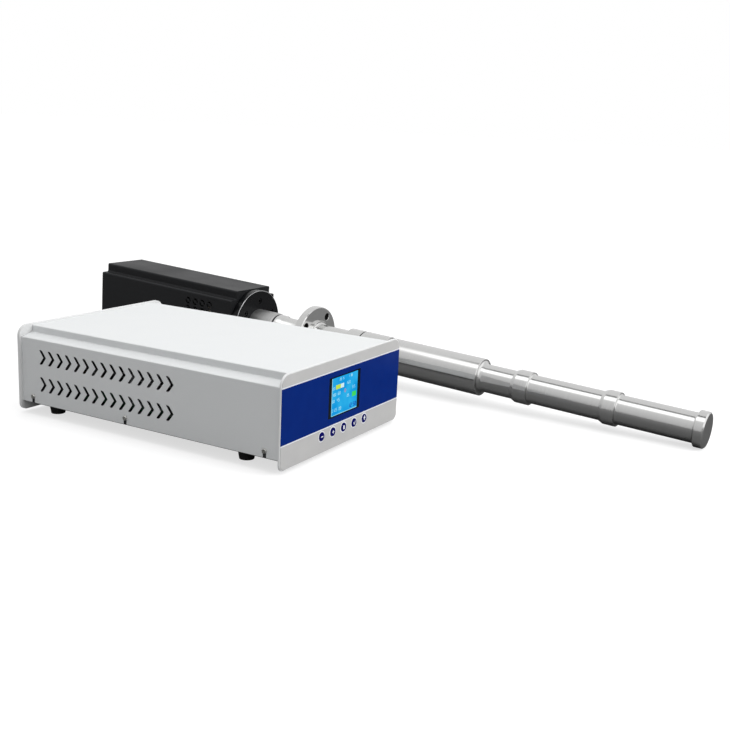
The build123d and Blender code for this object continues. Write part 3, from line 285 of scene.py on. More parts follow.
# Place on the probe: how far along its axis from the tip, and how far from the axis
probeGroup, probeIn, probeOut = newGroup("probePlace", ("Station", "Radius"))
probeArm = nodeIn(probeGroup, "ShaderNodeVectorMath", {0: probeIn["Vector"], 1: tuple(probeTip * mm)},
                  operation="SUBTRACT").outputs[0]
probeAlong = nodeIn(probeGroup, "ShaderNodeVectorMath", {0: probeArm, 1: tuple(probeAxis)},
                    operation="DOT_PRODUCT").outputs["Value"]
probeReach = nodeIn(probeGroup, "ShaderNodeVectorMath", {0: probeArm}, operation="LENGTH").outputs["Value"]
reachSquare, alongSquare = (maths(probeGroup, "MULTIPLY", v, v) for v in (probeReach, probeAlong))
setInputs(probeGroup, probeOut, {
    "Station": probeAlong,
    "Radius": maths(probeGroup, "SQRT", maths(probeGroup, "SUBTRACT", reachSquare, alongSquare))})

# Moulded or dull surface: fine pits and slow changes of sheen
mouldGroup, mouldIn, mouldOut = newGroup("mouldedSkin", ("Height", "Sheen"), Scale=900.0)
pits = nodeIn(mouldGroup, "ShaderNodeTexVoronoi", {"Vector": mouldIn["Vector"], "Scale": mouldIn["Scale"]},
              feature="SMOOTH_F1")
sheenRange = (0.3, 0.7)
slowSheen = noise(mouldGroup, mouldIn["Vector"], Scale=40.0, Detail=4.0)
setInputs(mouldGroup, mouldOut, {
    "Height": pits.outputs["Distance"], "Sheen": ramp(mouldGroup, slowSheen, *sheenRange)})


def startMaterial(name, metallic=0.0, coat=0.0, coatRoughness=0.1, specular=0.3):
    material = bpy.data.materials.new(name)
    material.use_nodes = True
    tree = material.node_tree
    shader = tree.nodes["Principled BSDF"]
    setInputs(tree, shader, {"Metallic": metallic, "Coat Weight": coat, "Coat Roughness": coatRoughness,
                             "Specular IOR Level": specular})
    place = nodeIn(tree, "ShaderNodeTexCoord").outputs["Object"]
    return material, tree, shader, place


def addBump(tree, shader, height, strength, depth=0.1, edge=0.0):
    bump = nodeIn(tree, "ShaderNodeBump", {"Height": height, "Strength": strength, "Distance": depth * mm})
    if edge:
        # Folded and cast edges catch the light as if they were rounded
        soft = nodeIn(tree, "ShaderNodeBevel", {"Radius": edge * mm}, samples=4)
        setInputs(tree, bump, {"Normal": soft.outputs[0]})
    setInputs(tree, shader, {"Normal": bump.outputs[0]})


def placeGroup(tree, group, place, **values):
    return nodeIn(tree, "ShaderNodeGroup", {"Vector": place, **values}, node_tree=group).outputs


# The cover's section, by which its inner faces are found and given a near-black painted shade
coverPaintedShade = {"colour": (0.010, 0.010, 0.011), "side": generator["coverSide"], "step": 17.8, "sheet": 0.7,
               "skin": 0.12, "bend": 1.8, "top": 112.0, "rise": 8.7, "fall": 3.5}


def paintedShadeMask(tree, place, look):
    # Mask of the painted shade on the cover's inner faces
    # Two zones: deeper than the sheet under the roof and in from the side, and below the bend
    # all that lies behind the side's skin
    parts = axisParts(tree, place)
    across = maths(tree, "ABSOLUTE", maths(tree, "SUBTRACT", parts["X"], generator["middle"] * mm))
    crown = look["side"] - look["step"]
    shoulder = look["top"] - look["rise"]
    ledge = ramp(tree, across, crown * mm, look["side"] * mm, shoulder * mm, (shoulder - look["fall"]) * mm)
    roof = mixed(tree, maths(tree, "LESS_THAN", across, (crown - look["sheet"]) * mm), ledge,
                 (look["top"] * mm,) * 3)
    shadedZones = 0.0
    for down, inward in ((look["sheet"], look["sheet"]), (look["bend"], look["skin"])):
        under = maths(tree, "LESS_THAN", parts["Z"], maths(tree, "SUBTRACT", roof, down * mm))
        behind = maths(tree, "LESS_THAN", across, (look["side"] - inward) * mm)
        shadedZones = maths(tree, "MAXIMUM", shadedZones, maths(tree, "MULTIPLY", under, behind))
    return shadedZones


def coatedMaterial(name, colour, fleck, roughness, grain=1400.0, strength=0.25, drift=0.06, specular=0.3,
                   edge=0.0, inside=None):
    # Powder coat: its colour darkens in the flecks, its roughness drifts with the cloud; a painted-shade look
    # turns its masked faces near-black
    material, tree, shader, place = startMaterial(name, specular=specular)
    coat = placeGroup(tree, coatGroup, place, Grain=grain)
    outer = mixed(tree, coat["Flecks"], colour, fleck)
    # Painted shade: the faces in the mask take the shade's near-black colour
    if inside:
        outer = mixed(tree, paintedShadeMask(tree, place, inside), outer, inside["colour"])
    setInputs(tree, shader, {
        "Base Color": outer,
        "Roughness": ramp(tree, coat["Cloud"], 0, 1, roughness - drift, roughness + drift)})
    addBump(tree, shader, coat["Height"], strength, edge=edge)
    return material


coatedLooks = {
    # The cover's paint carries a painted shade on its inner faces
    "coverPaint": {"colour": (0.72, 0.735, 0.74), "fleck": (0.62, 0.635, 0.64), "roughness": 0.42,
                   "edge": 0.8, "inside": coverPaintedShade},
    # The tray is near-black; along the cover's lower edge this colour gives a painted shade line
    "trayPaint": {"colour": (0.045, 0.046, 0.048), "fleck": (0.07, 0.071, 0.073), "roughness": 0.5},
    "panelPaint": {"colour": (0.76, 0.765, 0.765), "fleck": (0.68, 0.685, 0.685), "roughness": 0.38,
                   "grain": 2000.0, "strength": 0.15},
    "housingBlack": {"colour": (0.014, 0.0145, 0.016), "fleck": (0.026, 0.0265, 0.028), "roughness": 0.48,
                     "grain": 1800.0, "strength": 0.3, "specular": 0.2, "edge": 1.2},
}

# Painted shade by station and radius: dark lines in the probe's joint gaps, dark walls in the flange holes
probeSeamShade = {"colour": (0.03, 0.03, 0.03), "roughness": 0.6, "joints": ((521, 523), (684.6, 687.9)),
              "wallStations": (610.8, 622.2), "wallRadii": (32, 45)}


def seamShadeMask(tree, place, look):
    # Mask of the painted shade: the walls of the flange holes and the lines of the joints
    spot = placeGroup(tree, probeGroup, place)
    mask = maths(tree, "MULTIPLY", within(tree, spot["Station"], *look["wallStations"]),
                 within(tree, spot["Radius"], *look["wallRadii"]))
    for low, high in look["joints"]:
        mask = maths(tree, "MAXIMUM", mask, within(tree, spot["Station"], low, high))
    return mask


def metalMaterial(name, colour, dark, roughness, axis=(0, 1, 0), fine=2600.0, strength=0.05, spread=0.02,
                  marks=0.05, depth=0.04, seams=None):
    # Turned or drawn metal: rings or lines across the axis, tone and roughness follow them
    material, tree, shader, place = startMaterial(name, metallic=1.0)
    turn = Vector(axis).to_track_quat("X", "Z").inverted().to_euler()
    turned = nodeIn(tree, "ShaderNodeMapping", {"Vector": place, "Rotation": tuple(turn)})
    metal = placeGroup(tree, turnedGroup, turned.outputs[0], Fine=fine)
    tone = mixed(tree, metal["Tone"], colour, dark)
    rough = maths(tree, "ADD", ramp(tree, metal["Tone"], 0, 1, roughness - spread, roughness + spread),
                  maths(tree, "MULTIPLY", metal["Marks"], marks), clamp=True)
    # Painted shade at the joints and in the flange holes
    if seams:
        mask = seamShadeMask(tree, place, seams)
        tone = mixed(tree, mask, tone, seams["colour"])
        rough = maths(tree, "MAXIMUM", rough, maths(tree, "MULTIPLY", mask, seams["roughness"]))
    setInputs(tree, shader, {"Base Color": tone, "Roughness": rough})
    addBump(tree, shader, metal["Height"], strength, depth)
    return material


metalLooks = {
    "probeMetal": {"colour": (0.70, 0.70, 0.695), "dark": (0.61, 0.61, 0.605), "roughness": 0.14,
                   "axis": probeAxis, "seams": probeSeamShade},
    "stubMetal": {"colour": (0.66, 0.66, 0.655), "dark": (0.34, 0.34, 0.34), "roughness": 0.40,
                  "axis": probeAxis, "strength": 0.1},
    "studMetal": {"colour": (0.60, 0.60, 0.59), "dark": (0.45, 0.45, 0.44), "roughness": 0.34,
                  "strength": 0.2},
    "screwZinc": {"colour": (0.62, 0.62, 0.60), "dark": (0.50, 0.50, 0.48), "roughness": 0.30,
                  "fine": 4000.0},
    "screwBlack": {"colour": (0.055, 0.055, 0.058), "dark": (0.03, 0.03, 0.032), "roughness": 0.34,
                   "fine": 4000.0},
    "nickelPlate": {"colour": (0.68, 0.67, 0.64), "dark": (0.60, 0.59, 0.56), "roughness": 0.20,
                    "fine": 3000.0, "strength": 0.06},
    "contactBrass": {"colour": (0.80, 0.60, 0.28), "dark": (0.66, 0.48, 0.20), "roughness": 0.26,
                     "fine": 3000.0},
    "drawnAluminium": {"colour": (0.70, 0.70, 0.71), "dark": (0.60, 0.60, 0.62), "roughness": 0.34,
                       "axis": (0, 0, 1), "fine": 1200.0},
    "wireCopper": {"colour": (0.72, 0.38, 0.20), "dark": (0.40, 0.17, 0.07), "roughness": 0.30,
                   "axis": (0, 0, 1), "fine": 1100.0, "strength": 0.8},
}


def mouldedMaterial(name, colour, pale, roughness, scale=900.0, strength=0.2, spread=0.05, coat=0.0,
                    specular=0.3):
    # Plastic or rubber: pitted skin, a little paler where the sheen rises
    material, tree, shader, place = startMaterial(name, coat=coat, specular=specular)
    skin = placeGroup(tree, mouldGroup, place, Scale=scale)
    setInputs(tree, shader, {
        "Base Color": mixed(tree, skin["Sheen"], colour, pale),
        "Roughness": ramp(tree, skin["Sheen"], 0, 1, roughness + spread, roughness - spread)})
    addBump(tree, shader, skin["Height"], strength)
    return material


mouldedLooks = {
    "mouldedBlack": {"colour": (0.018, 0.018, 0.019), "pale": (0.026, 0.026, 0.027), "roughness": 0.45},
    "footRubber": {"colour": (0.012, 0.012, 0.012), "pale": (0.022, 0.022, 0.022), "roughness": 0.70,
                   "scale": 600.0, "strength": 0.35},
    "keyBlue": {"colour": (0.0008, 0.0015, 0.105), "pale": (0.0012, 0.002, 0.125), "roughness": 0.40,
                "scale": 1500.0, "strength": 0.05, "specular": 0.06},
    "signWhite": {"colour": (0.84, 0.85, 0.92), "pale": (0.90, 0.91, 0.96), "roughness": 0.45,
                  "scale": 1500.0, "strength": 0.05},
    "rockerRed": {"colour": (0.42, 0.012, 0.010), "pale": (0.50, 0.018, 0.014), "roughness": 0.25,
                  "scale": 1500.0, "strength": 0.05, "coat": 0.3},
    "ringCeramic": {"colour": (0.50, 0.42, 0.28), "pale": (0.58, 0.50, 0.36), "roughness": 0.45,
                    "scale": 700.0},
    "coreFerrite": {"colour": (0.045, 0.045, 0.048), "pale": (0.07, 0.07, 0.072), "roughness": 0.60,
                    "scale": 500.0},
    "sleeveBlue": {"colour": (0.010, 0.025, 0.070), "pale": (0.016, 0.035, 0.090), "roughness": 0.30,
                   "scale": 1200.0, "strength": 0.05},
}
for makeFinish, looks in ((coatedMaterial, coatedLooks), (metalMaterial, metalLooks),
                          (mouldedMaterial, mouldedLooks)):
    for name, look in looks.items():
        materials[name] = makeFinish(name, **look)

discLook = {"colour": (0.004, 0.0043, 0.005), "fleck": (0.010, 0.0105, 0.012), "bare": (0.62, 0.62, 0.63),
            "front": 730.0, "radius": 55.0, "edge": 0.75, "grain": 2200.0, "roughness": (0.22, 0.30),
            "strength": 0.10, "specular": 0.2}


def discMaterial(name, look):
    # Black anodised disc; where its front edge is cut, the bare metal shows as a thin ring
    material, tree, shader, place = startMaterial(name, specular=look["specular"])
    coat = placeGroup(tree, coatGroup, place, Grain=look["grain"])
    spot = placeGroup(tree, probeGroup, place)
    near = maths(tree, "LESS_THAN", spot["Station"], (look["front"] + look["edge"]) * mm)
    outermost = maths(tree, "GREATER_THAN", spot["Radius"], (look["radius"] - look["edge"]) * mm)
    bare = maths(tree, "MULTIPLY", near, outermost)
    black = mixed(tree, coat["Flecks"], look["colour"], look["fleck"])
    setInputs(tree, shader, {"Base Color": mixed(tree, bare, black, look["bare"]), "Metallic": bare,
                             "Roughness": ramp(tree, coat["Cloud"], 0, 1, *look["roughness"])})
    addBump(tree, shader, coat["Height"], look["strength"])
    return material


boardLook = {"scale": 60.0, "gap": 0.06, "fields": ((0.008, 0.10, 0.035), (0.010, 0.12, 0.045)),
             "trace": (0.030, 0.20, 0.085), "skin": 500.0, "roughness": (0.35, 0.5), "strength": 0.3,
             "coat": 0.3}


def boardMaterial(name, look):
    # Green board: square-cornered traces under the mask, from a brick pattern
    material, tree, shader, place = startMaterial(name, coat=look["coat"])
    first, second = look["fields"]
    traces = nodeIn(tree, "ShaderNodeTexBrick", {
        "Vector": place, "Scale": look["scale"], "Mortar Size": look["gap"], "Color1": (*first, 1),
        "Color2": (*second, 1), "Mortar": (*look["trace"], 1)}).outputs
    skin = placeGroup(tree, mouldGroup, place, Scale=look["skin"])
    setInputs(tree, shader, {"Base Color": traces["Color"],
                             "Roughness": ramp(tree, skin["Sheen"], 0, 1, *look["roughness"])})
    addBump(tree, shader, traces["Fac"], look["strength"])
    return material


filmLook = {"grey": (0.535, 0.532, 0.526), "paleGrey": (0.565, 0.561, 0.555), "blue": (0.0006, 0.0220, 0.195),
            "deepBlue": (0.0005, 0.0190, 0.178), "line": (0.78, 0.79, 0.84), "band": (34.0, 98.3),
            "lineWidth": 1.5, "skin": 2200.0, "roughness": (0.42, 0.34), "strength": 0.08, "specular": 0.05}


def filmMaterial(name, look):
    # Printed film: warm grey with a blue band between two pale lines, all by height
    material, tree, shader, place = startMaterial(name, specular=look["specular"])
    height = axisParts(tree, place)["Z"]
    low, high = look["band"]
    skin = placeGroup(tree, mouldGroup, place, Scale=look["skin"])
    grey = mixed(tree, skin["Sheen"], look["grey"], look["paleGrey"])
    blue = mixed(tree, skin["Sheen"], look["deepBlue"], look["blue"])
    inLine = within(tree, height, low - look["lineWidth"], high + look["lineWidth"])
    outer = mixed(tree, inLine, grey, look["line"])
    setInputs(tree, shader, {"Base Color": mixed(tree, within(tree, height, low, high), outer, blue),
                             "Roughness": ramp(tree, skin["Sheen"], 0, 1, *look["roughness"])})
    addBump(tree, shader, skin["Height"], look["strength"])
    return material


windowLook = {"colour": (0.002, 0.006, 0.010), "dust": (0.02, 0.024, 0.03), "dustShare": 0.25,
              "grain": 2500.0, "roughness": (0.08, 0.16), "coat": 0.15, "coatRoughness": 0.04,
              "specular": 0.1}


def windowMaterial(name, look):
    # Black glass: smooth, with a thin cloud of dust
    material, tree, shader, place = startMaterial(
        name, coat=look["coat"], coatRoughness=look["coatRoughness"], specular=look["specular"])
    skin = placeGroup(tree, coatGroup, place, Grain=look["grain"])
    dusty = maths(tree, "MULTIPLY", skin["Flecks"], look["dustShare"])
    setInputs(tree, shader, {"Base Color": mixed(tree, dusty, look["colour"], look["dust"]),
                             "Roughness": ramp(tree, skin["Cloud"], 0, 1, *look["roughness"])})
    return material


tubeLook = {"tint": (0.93, 0.96, 0.95), "skin": 300.0, "roughness": (0.02, 0.06), "strength": 0.03}


def tubeMaterial(name, look):
    # Glass tube: clear, slightly uneven
    material, tree, shader, place = startMaterial(name)
    skin = placeGroup(tree, mouldGroup, place, Scale=look["skin"])
    setInputs(tree, shader, {"Transmission Weight": 1.0, "Base Color": (*look["tint"], 1),
                             "Roughness": ramp(tree, skin["Sheen"], 0, 1, *look["roughness"])})
    addBump(tree, shader, skin["Height"], look["strength"])
    return material


materials["discBlack"] = discMaterial("discBlack", discLook)
materials["boardGreen"] = boardMaterial("boardGreen", boardLook)
materials["printedFilm"] = filmMaterial("printedFilm", filmLook)
materials["windowBlack"] = windowMaterial("windowBlack", windowLook)
materials["fuseGlass"] = tubeMaterial("fuseGlass", tubeLook)

# The CAD nodes of each finish
nodeFinishes = {
    "panelPaint": "front_panel rear_panel",
    "coverPaint": "top_cover",
    "trayPaint": "base_tray",
    "printedFilm": "panel_overlay",
    "windowBlack": "display_window",
    "mouldedBlack": "display_module tactile_switches fan_frame fan_rotor inlet_module fuse_drawer "
                    "output_insert power_transistors transducer_insert",
    "keyBlue": "left_key right_key menu_key down_key up_key",
    "boardGreen": "control_board main_board",
    "nickelPlate": "panel_standoffs fan_guard inlet_pins output_socket board_posts transducer_socket",
    "drawnAluminium": "side_rails heat_sink",
    "footRubber": "rubber_feet",
    "screwZinc": "foot_screws cover_screws front_panel_screws rear_screws fan_screws",
    "fuseGlass": "fuse_link",
    "rockerRed": "power_rocker",
    "contactBrass": "output_contacts earth_terminal electrodes transducer_contacts",
    "sleeveBlue": "filter_capacitors",
    "coreFerrite": "transformer_core",
    "wireCopper": "transformer_winding",
    "probeMetal": "sonotrode flanged_horn front_mass back_mass",
    "studMetal": "coupling_studs prestress_bolt",
    "ringCeramic": "piezo_rings",
    "discBlack": "end_disc",
    "screwBlack": "clamp_screws disc_screws front_plate_screws rear_cover_screws",
    "housingBlack": "housing_front_plate transducer_housing housing_rear_cover",
}
nodeMaterials = {name: materials[finish] for finish, names in nodeFinishes.items() for name in names.split()}
for name, material in nodeMaterials.items():
    node = nodes[name]
    if not node.material_slots:
        node.data.materials.append(None)
    for slot in node.material_slots:
        slot.link = "OBJECT"
        slot.material = material
print("materials on", len(nodeMaterials), "nodes")


# Probe: stations from the tip and radii, with the collars half a wave apart
def turnedBar(name, corners, radii, look, material="probeMetal"):
    # The profile through (station, radius) corners, rounded, and turned about the probe's axis
    grid = turnedGrid(roundedProfile(corners, radii), probeTip, probeAxis, probeSide, look["segments"])
    return gridPiece(name, [grid], material, "probe", wrapColumns=True, sharp=28)


sonotrodeLook = {
    "capRadius": probe["capRadius"], "capEnd": 12.8, "rod": 20, "collar": 23.3,
    "collars": ((116.4, 138.1), (241.9, 266.3)), "bevel": 5, "bevelRound": 1.2, "shoulder": 1, "root": 2.8,
    "barrel": 26.6, "barrelStart": 317.9, "barrelRoot": 6, "groove": (471, 475), "grooveDepth": 1,
    "grooveEdge": 0.25, "rear": 27.2, "end": 522, "edge": 0.6, "capEdge": 1.8, "joint": 1.5, "segments": 192,
}


def sonotrodePiece(look):
    # One profile: end cap, rod, each collar with its bevel behind, barrel, groove and rear end
    rod, collar, barrel, edge = look["rod"], look["collar"], look["barrel"], look["edge"]
    corners = [(0, 0), (0, look["capRadius"]), (look["capEnd"], look["capRadius"]), (look["capEnd"], rod)]
    radii = {1: -look["capEdge"], 2: -edge, 3: look["root"]}
    for start, end in look["collars"]:
        k = len(corners)
        corners += [(start, rod), (start, collar), (end - look["bevel"], collar),
                    (end, rod + look["shoulder"]), (end, rod)]
        radii.update({k: look["root"], k + 1: -edge, k + 2: look["bevelRound"]})
    k = len(corners)
    first, last = look["groove"]
    bottom = barrel - look["grooveDepth"]
    corners += [(look["barrelStart"], rod), (look["barrelStart"], barrel), (first, barrel), (first, bottom),
                (last, bottom), (last, look["rear"]), (look["end"], look["rear"]), (look["end"], 0)]
    radii.update({k: look["barrelRoot"], k + 1: -edge, k + 2: -look["grooveEdge"],
                  k + 5: -look["grooveEdge"], k + 6: -look["joint"]})
    piece = turnedBar("sonotrodeBar", corners, radii, look)
    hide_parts("sonotrode")


sonotrodePiece(sonotrodeLook)

# Flanged horn: the turned body, and the drilled ring at its node
hornLook = {
    "start": sonotrodeLook["end"], "rear": sonotrodeLook["rear"], "collarEnd": 547, "shaft": 22.6,
    "root": 4, "boss": 28, "bossStart": 606, "sink": 0.1, "flange": (610, 623), "flangeRadius": 49,
    "flangeEdge": 1.2, "rearShaft": 21.3, "step": 671, "cone": 4, "rearRadius": 23.4, "end": 688,
    "edge": 0.6, "joint": 1.5, "holes": 4, "circle": 77, "hole": 5.5, "firstHole": 36, "holeEdge": 0.5,
    "innerRadius": 24, "spokeSteps": 10, "shares": (0.35, 0.7, 0.9), "segments": 192,
}


def drilledRing(look):
    # One hole in each equal sector: a point k of the sector's edge and point k of the hole's edge
    # are joined by lines on both faces, and the path goes through the hole from face to face
    front, rear = look["flange"]
    sector = 2 * pi / look["holes"]
    outer = look["flangeRadius"] - look["flangeEdge"]
    arc = np.linspace(-sector / 2, sector / 2, look["segments"] // look["holes"] + 1)
    spoke = np.linspace(outer, look["innerRadius"], look["spokeSteps"] + 1)
    border = [(spoke[0], a) for a in arc[:-1]] + [(r, sector / 2) for r in spoke[:-1]]
    border += [(spoke[-1], a) for a in arc[:0:-1]] + [(r, -sector / 2) for r in spoke[:0:-1]]
    distance, angle = np.array(border).T
    grids = []
    for n in range(look["holes"]):
        turn = radians(look["firstHole"]) + n * sector
        edge = np.stack((distance * np.cos(angle + turn), distance * np.sin(angle + turn)), axis=1)
        centre = look["circle"] / 2 * np.array([cos(turn), sin(turn)])
        away = edge - centre
        away /= np.linalg.norm(away, axis=1)[:, None]
        near = centre + away * (look["hole"] + look["holeEdge"])
        wall = centre + away * look["hole"]
        inward = [edge] + [edge * (1 - share) + near * share for share in look["shares"]] + [near]
        rims = [(front, ring) for ring in inward]
        rims += [(s, wall) for s in (front + look["holeEdge"], (front + rear) / 2, rear - look["holeEdge"])]
        rims += [(rear, ring) for ring in inward[::-1]]
        grids.append(np.array([[onProbe(s, u, v) for u, v in points] for s, points in rims]))
    return grids


def hornPieces(look):
    # The body is one profile, and the flange is the drilled ring with a turned rim and hub
    front, rear = look["flange"]
    start, end, shaft, boss = look["start"], look["end"], look["shaft"], look["boss"]
    collarEnd, bossStart, step, sunk = look["collarEnd"], look["bossStart"], look["step"], rear - look["sink"]
    rearShaft, rearRadius = look["rearShaft"], look["rearRadius"]
    corners = [(start, 0), (start, look["rear"]), (collarEnd, look["rear"]), (collarEnd, shaft),
               (bossStart, shaft), (bossStart, boss), (sunk, boss), (sunk, rearShaft), (step, rearShaft),
               (step + look["cone"], rearRadius), (end, rearRadius), (end, 0)]
    radii = {1: -look["joint"], 2: -look["edge"], 3: look["root"], 4: look["root"], 5: -look["edge"],
             7: look["root"], 10: -look["joint"]}
    body = turnedBar("hornBody", corners, radii, look)
    edge, radius, inner = look["flangeEdge"], look["flangeRadius"], look["innerRadius"]
    rim = [(front, radius - edge), (front + edge, radius), (rear - edge, radius), (rear, radius - edge)]
    hub = [(rear, inner), (front, inner)]
    turn = radians(look["firstHole"] + 180 / look["holes"])
    side = probeSide * cos(turn) + np.cross(probeAxis, probeSide) * sin(turn)
    grids = drilledRing(look)
    grids += [turnedGrid(profile, probeTip, probeAxis, side, look["segments"]) for profile in (rim, hub)]
    ring = gridPiece("hornFlange", grids, "probeMetal", "probe", wrapColumns=True, sharp=28)
    for piece in (body, ring):
        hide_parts("flanged_horn")


hornPieces(hornLook)

# Front mass: the stub before the disc, the clamp ring and the block behind it
massLook = {"start": hornLook["end"], "stub": 24.7, "ringStart": probe["housingStart"], "ringEnd": 748.5,
            "ring": 44, "block": 31, "end": 790, "joint": 1.5, "edge": 0.6, "segments": 144}


def frontMassPiece(look):
    # One profile: stub, clamp ring, block
    corners = [(look["start"], 0), (look["start"], look["stub"]), (look["ringStart"], look["stub"]),
               (look["ringStart"], look["ring"]), (look["ringEnd"], look["ring"]),
               (look["ringEnd"], look["block"]), (look["end"], look["block"]), (look["end"], 0)]
    radii = {1: -look["joint"], 6: -look["edge"]}
    piece = turnedBar("frontMassBar", corners, radii, look, "stubMetal")
    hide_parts("front_mass")


frontMassPiece(massLook)
print("probe turned")

# Screws: heads turned with a socket in them, shanks behind, one piece for each set
panHead = {"head": 3.2, "height": 2.0, "edge": 1.3, "shank": 1.5, "reach": 5.0, "socket": 1.9, "depth": 1.2,
           "taper": 0.55, "outline": cross}
flatHead = {"head": 3.0, "height": 0.0, "edge": 0.0, "shank": 1.5, "reach": 9.0, "socket": 1.7, "depth": 1.2,
            "taper": 0.55, "outline": cross, "countersunk": True}
capHead = {"head": 4.25, "height": 5.0, "edge": 0.4, "shank": 2.5, "reach": 12.0, "socket": 2.0, "depth": 2.6,
           "taper": 1.0, "outline": hexagon}
fanHead = {**panHead, "head": 3.7, "shank": 2.0, "reach": 26.0}
socketLook = {"rim": 0.3, "lip": 0.05, "bevel": 0.15, "bottom": 0.3, "segments": 48}


def screwPiece(name, node, body, places, out, side, look, material="screwZinc"):
    # The profile starts behind, runs round the head and ends at the bottom of the socket; a third
    # value of 1 gives a point the socket's outline
    head, height, edge = look["head"], look["height"], look["edge"]
    shank, reach, socket = look["shank"], look["reach"], look["socket"]
    bottom = height - look["depth"]
    if look.get("countersunk"):
        profile = [(-reach, 0, 0), (-reach, shank, 0), (height - head + shank, shank, 0), (height, head, 0)]
    else:
        profile = [(-reach, 0, 0), (-reach, shank, 0), (0, shank, 0), (0, head, 0)]
        profile += [(height - edge + edge * sin(a), head - edge + edge * cos(a), 0)
                    for a in np.linspace(0, pi / 2, 5)]
    profile += [(height, socket + socketLook["rim"], 0), (height, socket + socketLook["lip"], 1),
                (height - socketLook["bevel"], socket, 1), (bottom, socket * look["taper"], 1),
                (bottom - socketLook["bottom"], 0, 1)]
    grids = [turnedGrid(profile, place, out, side, socketLook["segments"], look["outline"])
             for place in places]
    piece = gridPiece(name, grids, material, body, wrapColumns=True, sharp=30)
    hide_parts(node)


# Screws of the generator: (back from the front, height) on its sides, (sideways, height) behind
fanLook = {"u": -70, "z": 61, "half": 35.75, "plate": 1.6}
fanCorners = [(fanLook["u"] + x * fanLook["half"], fanLook["z"] + y * fanLook["half"])
              for x in (-1, 1) for y in (-1, 1)]
panelScrews = {"side": {"depths": (22.7, 227.3, 382.2), "height": 24.2},
               "corners": ((-122, 92), (122, 92), (-118, 26), (118, 26)),
               "inlet": {"spots": ((75, 60), (115, 60)), "plate": 2.5}}
rearOut, frontOut, upward = (0, 1, 0), (0, -1, 0), (0, 0, 1)
for label, sign in (("Left", -1), ("Right", 1)):
    sideSpots = [onFront(sign * generator["coverSide"], panelScrews["side"]["height"], -depth)
                 for depth in panelScrews["side"]["depths"]]
    screwPiece("coverScrews" + label, "cover_screws", "generator", sideSpots, (sign, 0, 0), upward, panHead)
rearSpots = [onRear(u, z) for u, z in panelScrews["corners"]]
rearSpots += [onRear(u, z, panelScrews["inlet"]["plate"]) for u, z in panelScrews["inlet"]["spots"]]
screwPiece("rearScrews", "rear_screws", "generator", rearSpots, rearOut, upward, panHead)
fanSpots = [onRear(u, z, fanLook["plate"]) for u, z in fanCorners]
screwPiece("fanScrews", "fan_screws", "generator", fanSpots, rearOut, upward, fanHead)


def aroundAxis(radius, degrees):
    return [(radius * cos(radians(a)), radius * sin(radians(a))) for a in degrees]


# Screws of the probe: node, station, (sideways, upwards) from the axis, direction and head
bossSpots = [(x * 35.3, y * 36.9) for x in (-1, 1) for y in (-1, 1)]
clampSpots = aroundAxis(37.8, range(34, 394, 60))
discSpots = aroundAxis(48, (64, 124, 244, 304))
probeScrews = {
    "clampScrews": ("clamp_screws", 736.0, clampSpots, -probeAxis, capHead),
    "discScrews": ("disc_screws", discLook["front"], discSpots, -probeAxis, flatHead),
    "frontPlateScrews": ("front_plate_screws", probe["housingStart"], bossSpots, -probeAxis, flatHead),
    "rearCoverScrews": ("rear_cover_screws", probe["housingEnd"], bossSpots, probeAxis, panHead),
}
for name, (node, station, spots, out, head) in probeScrews.items():
    places = [onProbe(station, u, v) for u, v in spots]
    screwPiece(name, node, "probe", places, out, probeSide, head, "screwBlack")
print("screws made")

# Fan guard: bright wire rings on two crossed bars with eyes for the screws
guardLook = {"rings": (9.1, 17.3, 25.5, 33.7), "wire": 0.8, "eye": 3.6, "barShare": 0.9, "barLift": 0.1,
             "wireSides": 12, "ringSteps": 96}


def guardPiece(look):
    # Round wire carried along circles and along the two diagonals
    turn = np.linspace(0, 2 * pi, look["wireSides"], endpoint=False)
    section = look["wire"] * np.stack((np.cos(turn), np.sin(turn) + 1), axis=1)
    around = np.linspace(0, 2 * pi, look["ringSteps"], endpoint=False)
    circles = [(fanLook["u"], fanLook["z"], r) for r in look["rings"]]
    circles += [(u, z, look["eye"]) for u, z in fanCorners]
    grids = []
    for u, z, r in circles:
        path = np.array([onRear(u + r * cos(a), z + r * sin(a)) for a in around])
        ring = carried(path, section, rearOut, closed=True)
        grids.append(np.concatenate((ring, ring[:1])))
    reach = fanLook["half"] - look["eye"] / sqrt(2)
    for x, y in ((1, 1), (1, -1)):
        ends = [onRear(fanLook["u"] + s * x * reach, fanLook["z"] + s * y * reach) for s in (-1, 1)]
        bar = carried(ends, section * look["barShare"] + (0, look["barLift"]), rearOut)
        caps = np.repeat(bar.mean(axis=1, keepdims=True), bar.shape[1], axis=1)
        grids.append(np.concatenate((caps[:1], bar, caps[1:])))
    piece = gridPiece("fanGuardWire", grids, "nickelPlate", "generator", wrapColumns=True)
    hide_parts("fan_guard")


guardPiece(guardLook)

# Keys: a pale sign on each cap and a pale ring printed round it; a sign is half a stroke's width
# and its lines, from the key's middle
keyLook = {"first": -50, "pitch": 24.5, "height": 25, "proud": 1.0, "relief": 0.08,
           "ring": (5.55, 6.9), "ringHeight": 0.04, "ringSegments": 64,
           "bodies": ("left_key_cap", "right_key_cap", "menu_key_cap", "down_key_cap", "up_key_cap"),
           "signs": {
               "left": (0.65, [[(-2.3, 0), (2.3, 0)]]),
               "right": (0.5, [[(-2.3, 0), (2.3, 0)], [(0, 2.3), (0, 0.5)], [(0, -0.5), (0, -2.3)]]),
               "menu": (1.8, [[(0, -2.3), (0, 2.3)]]),
               "down": (0.6, [[(-2.0, 1.0), (0, -2.2), (2.2, 2.2)]]),
               "up": (0.75, [[(-1.9, 0.2), (0, 2.7), (1.9, 0.2)], [(0, -2.2), (0, 1.2)]]),
           }}


def strokes(lines, half, relief, place, flat=0.8):
    # A flat-topped bead carried along each line, 2 half wide below and flat times that on top
    section = [(-half, 0), (-half * flat, relief), (half * flat, relief), (half, 0)]
    return [carried([place(x, y) for x, y in line], section, frontOut) for line in lines]


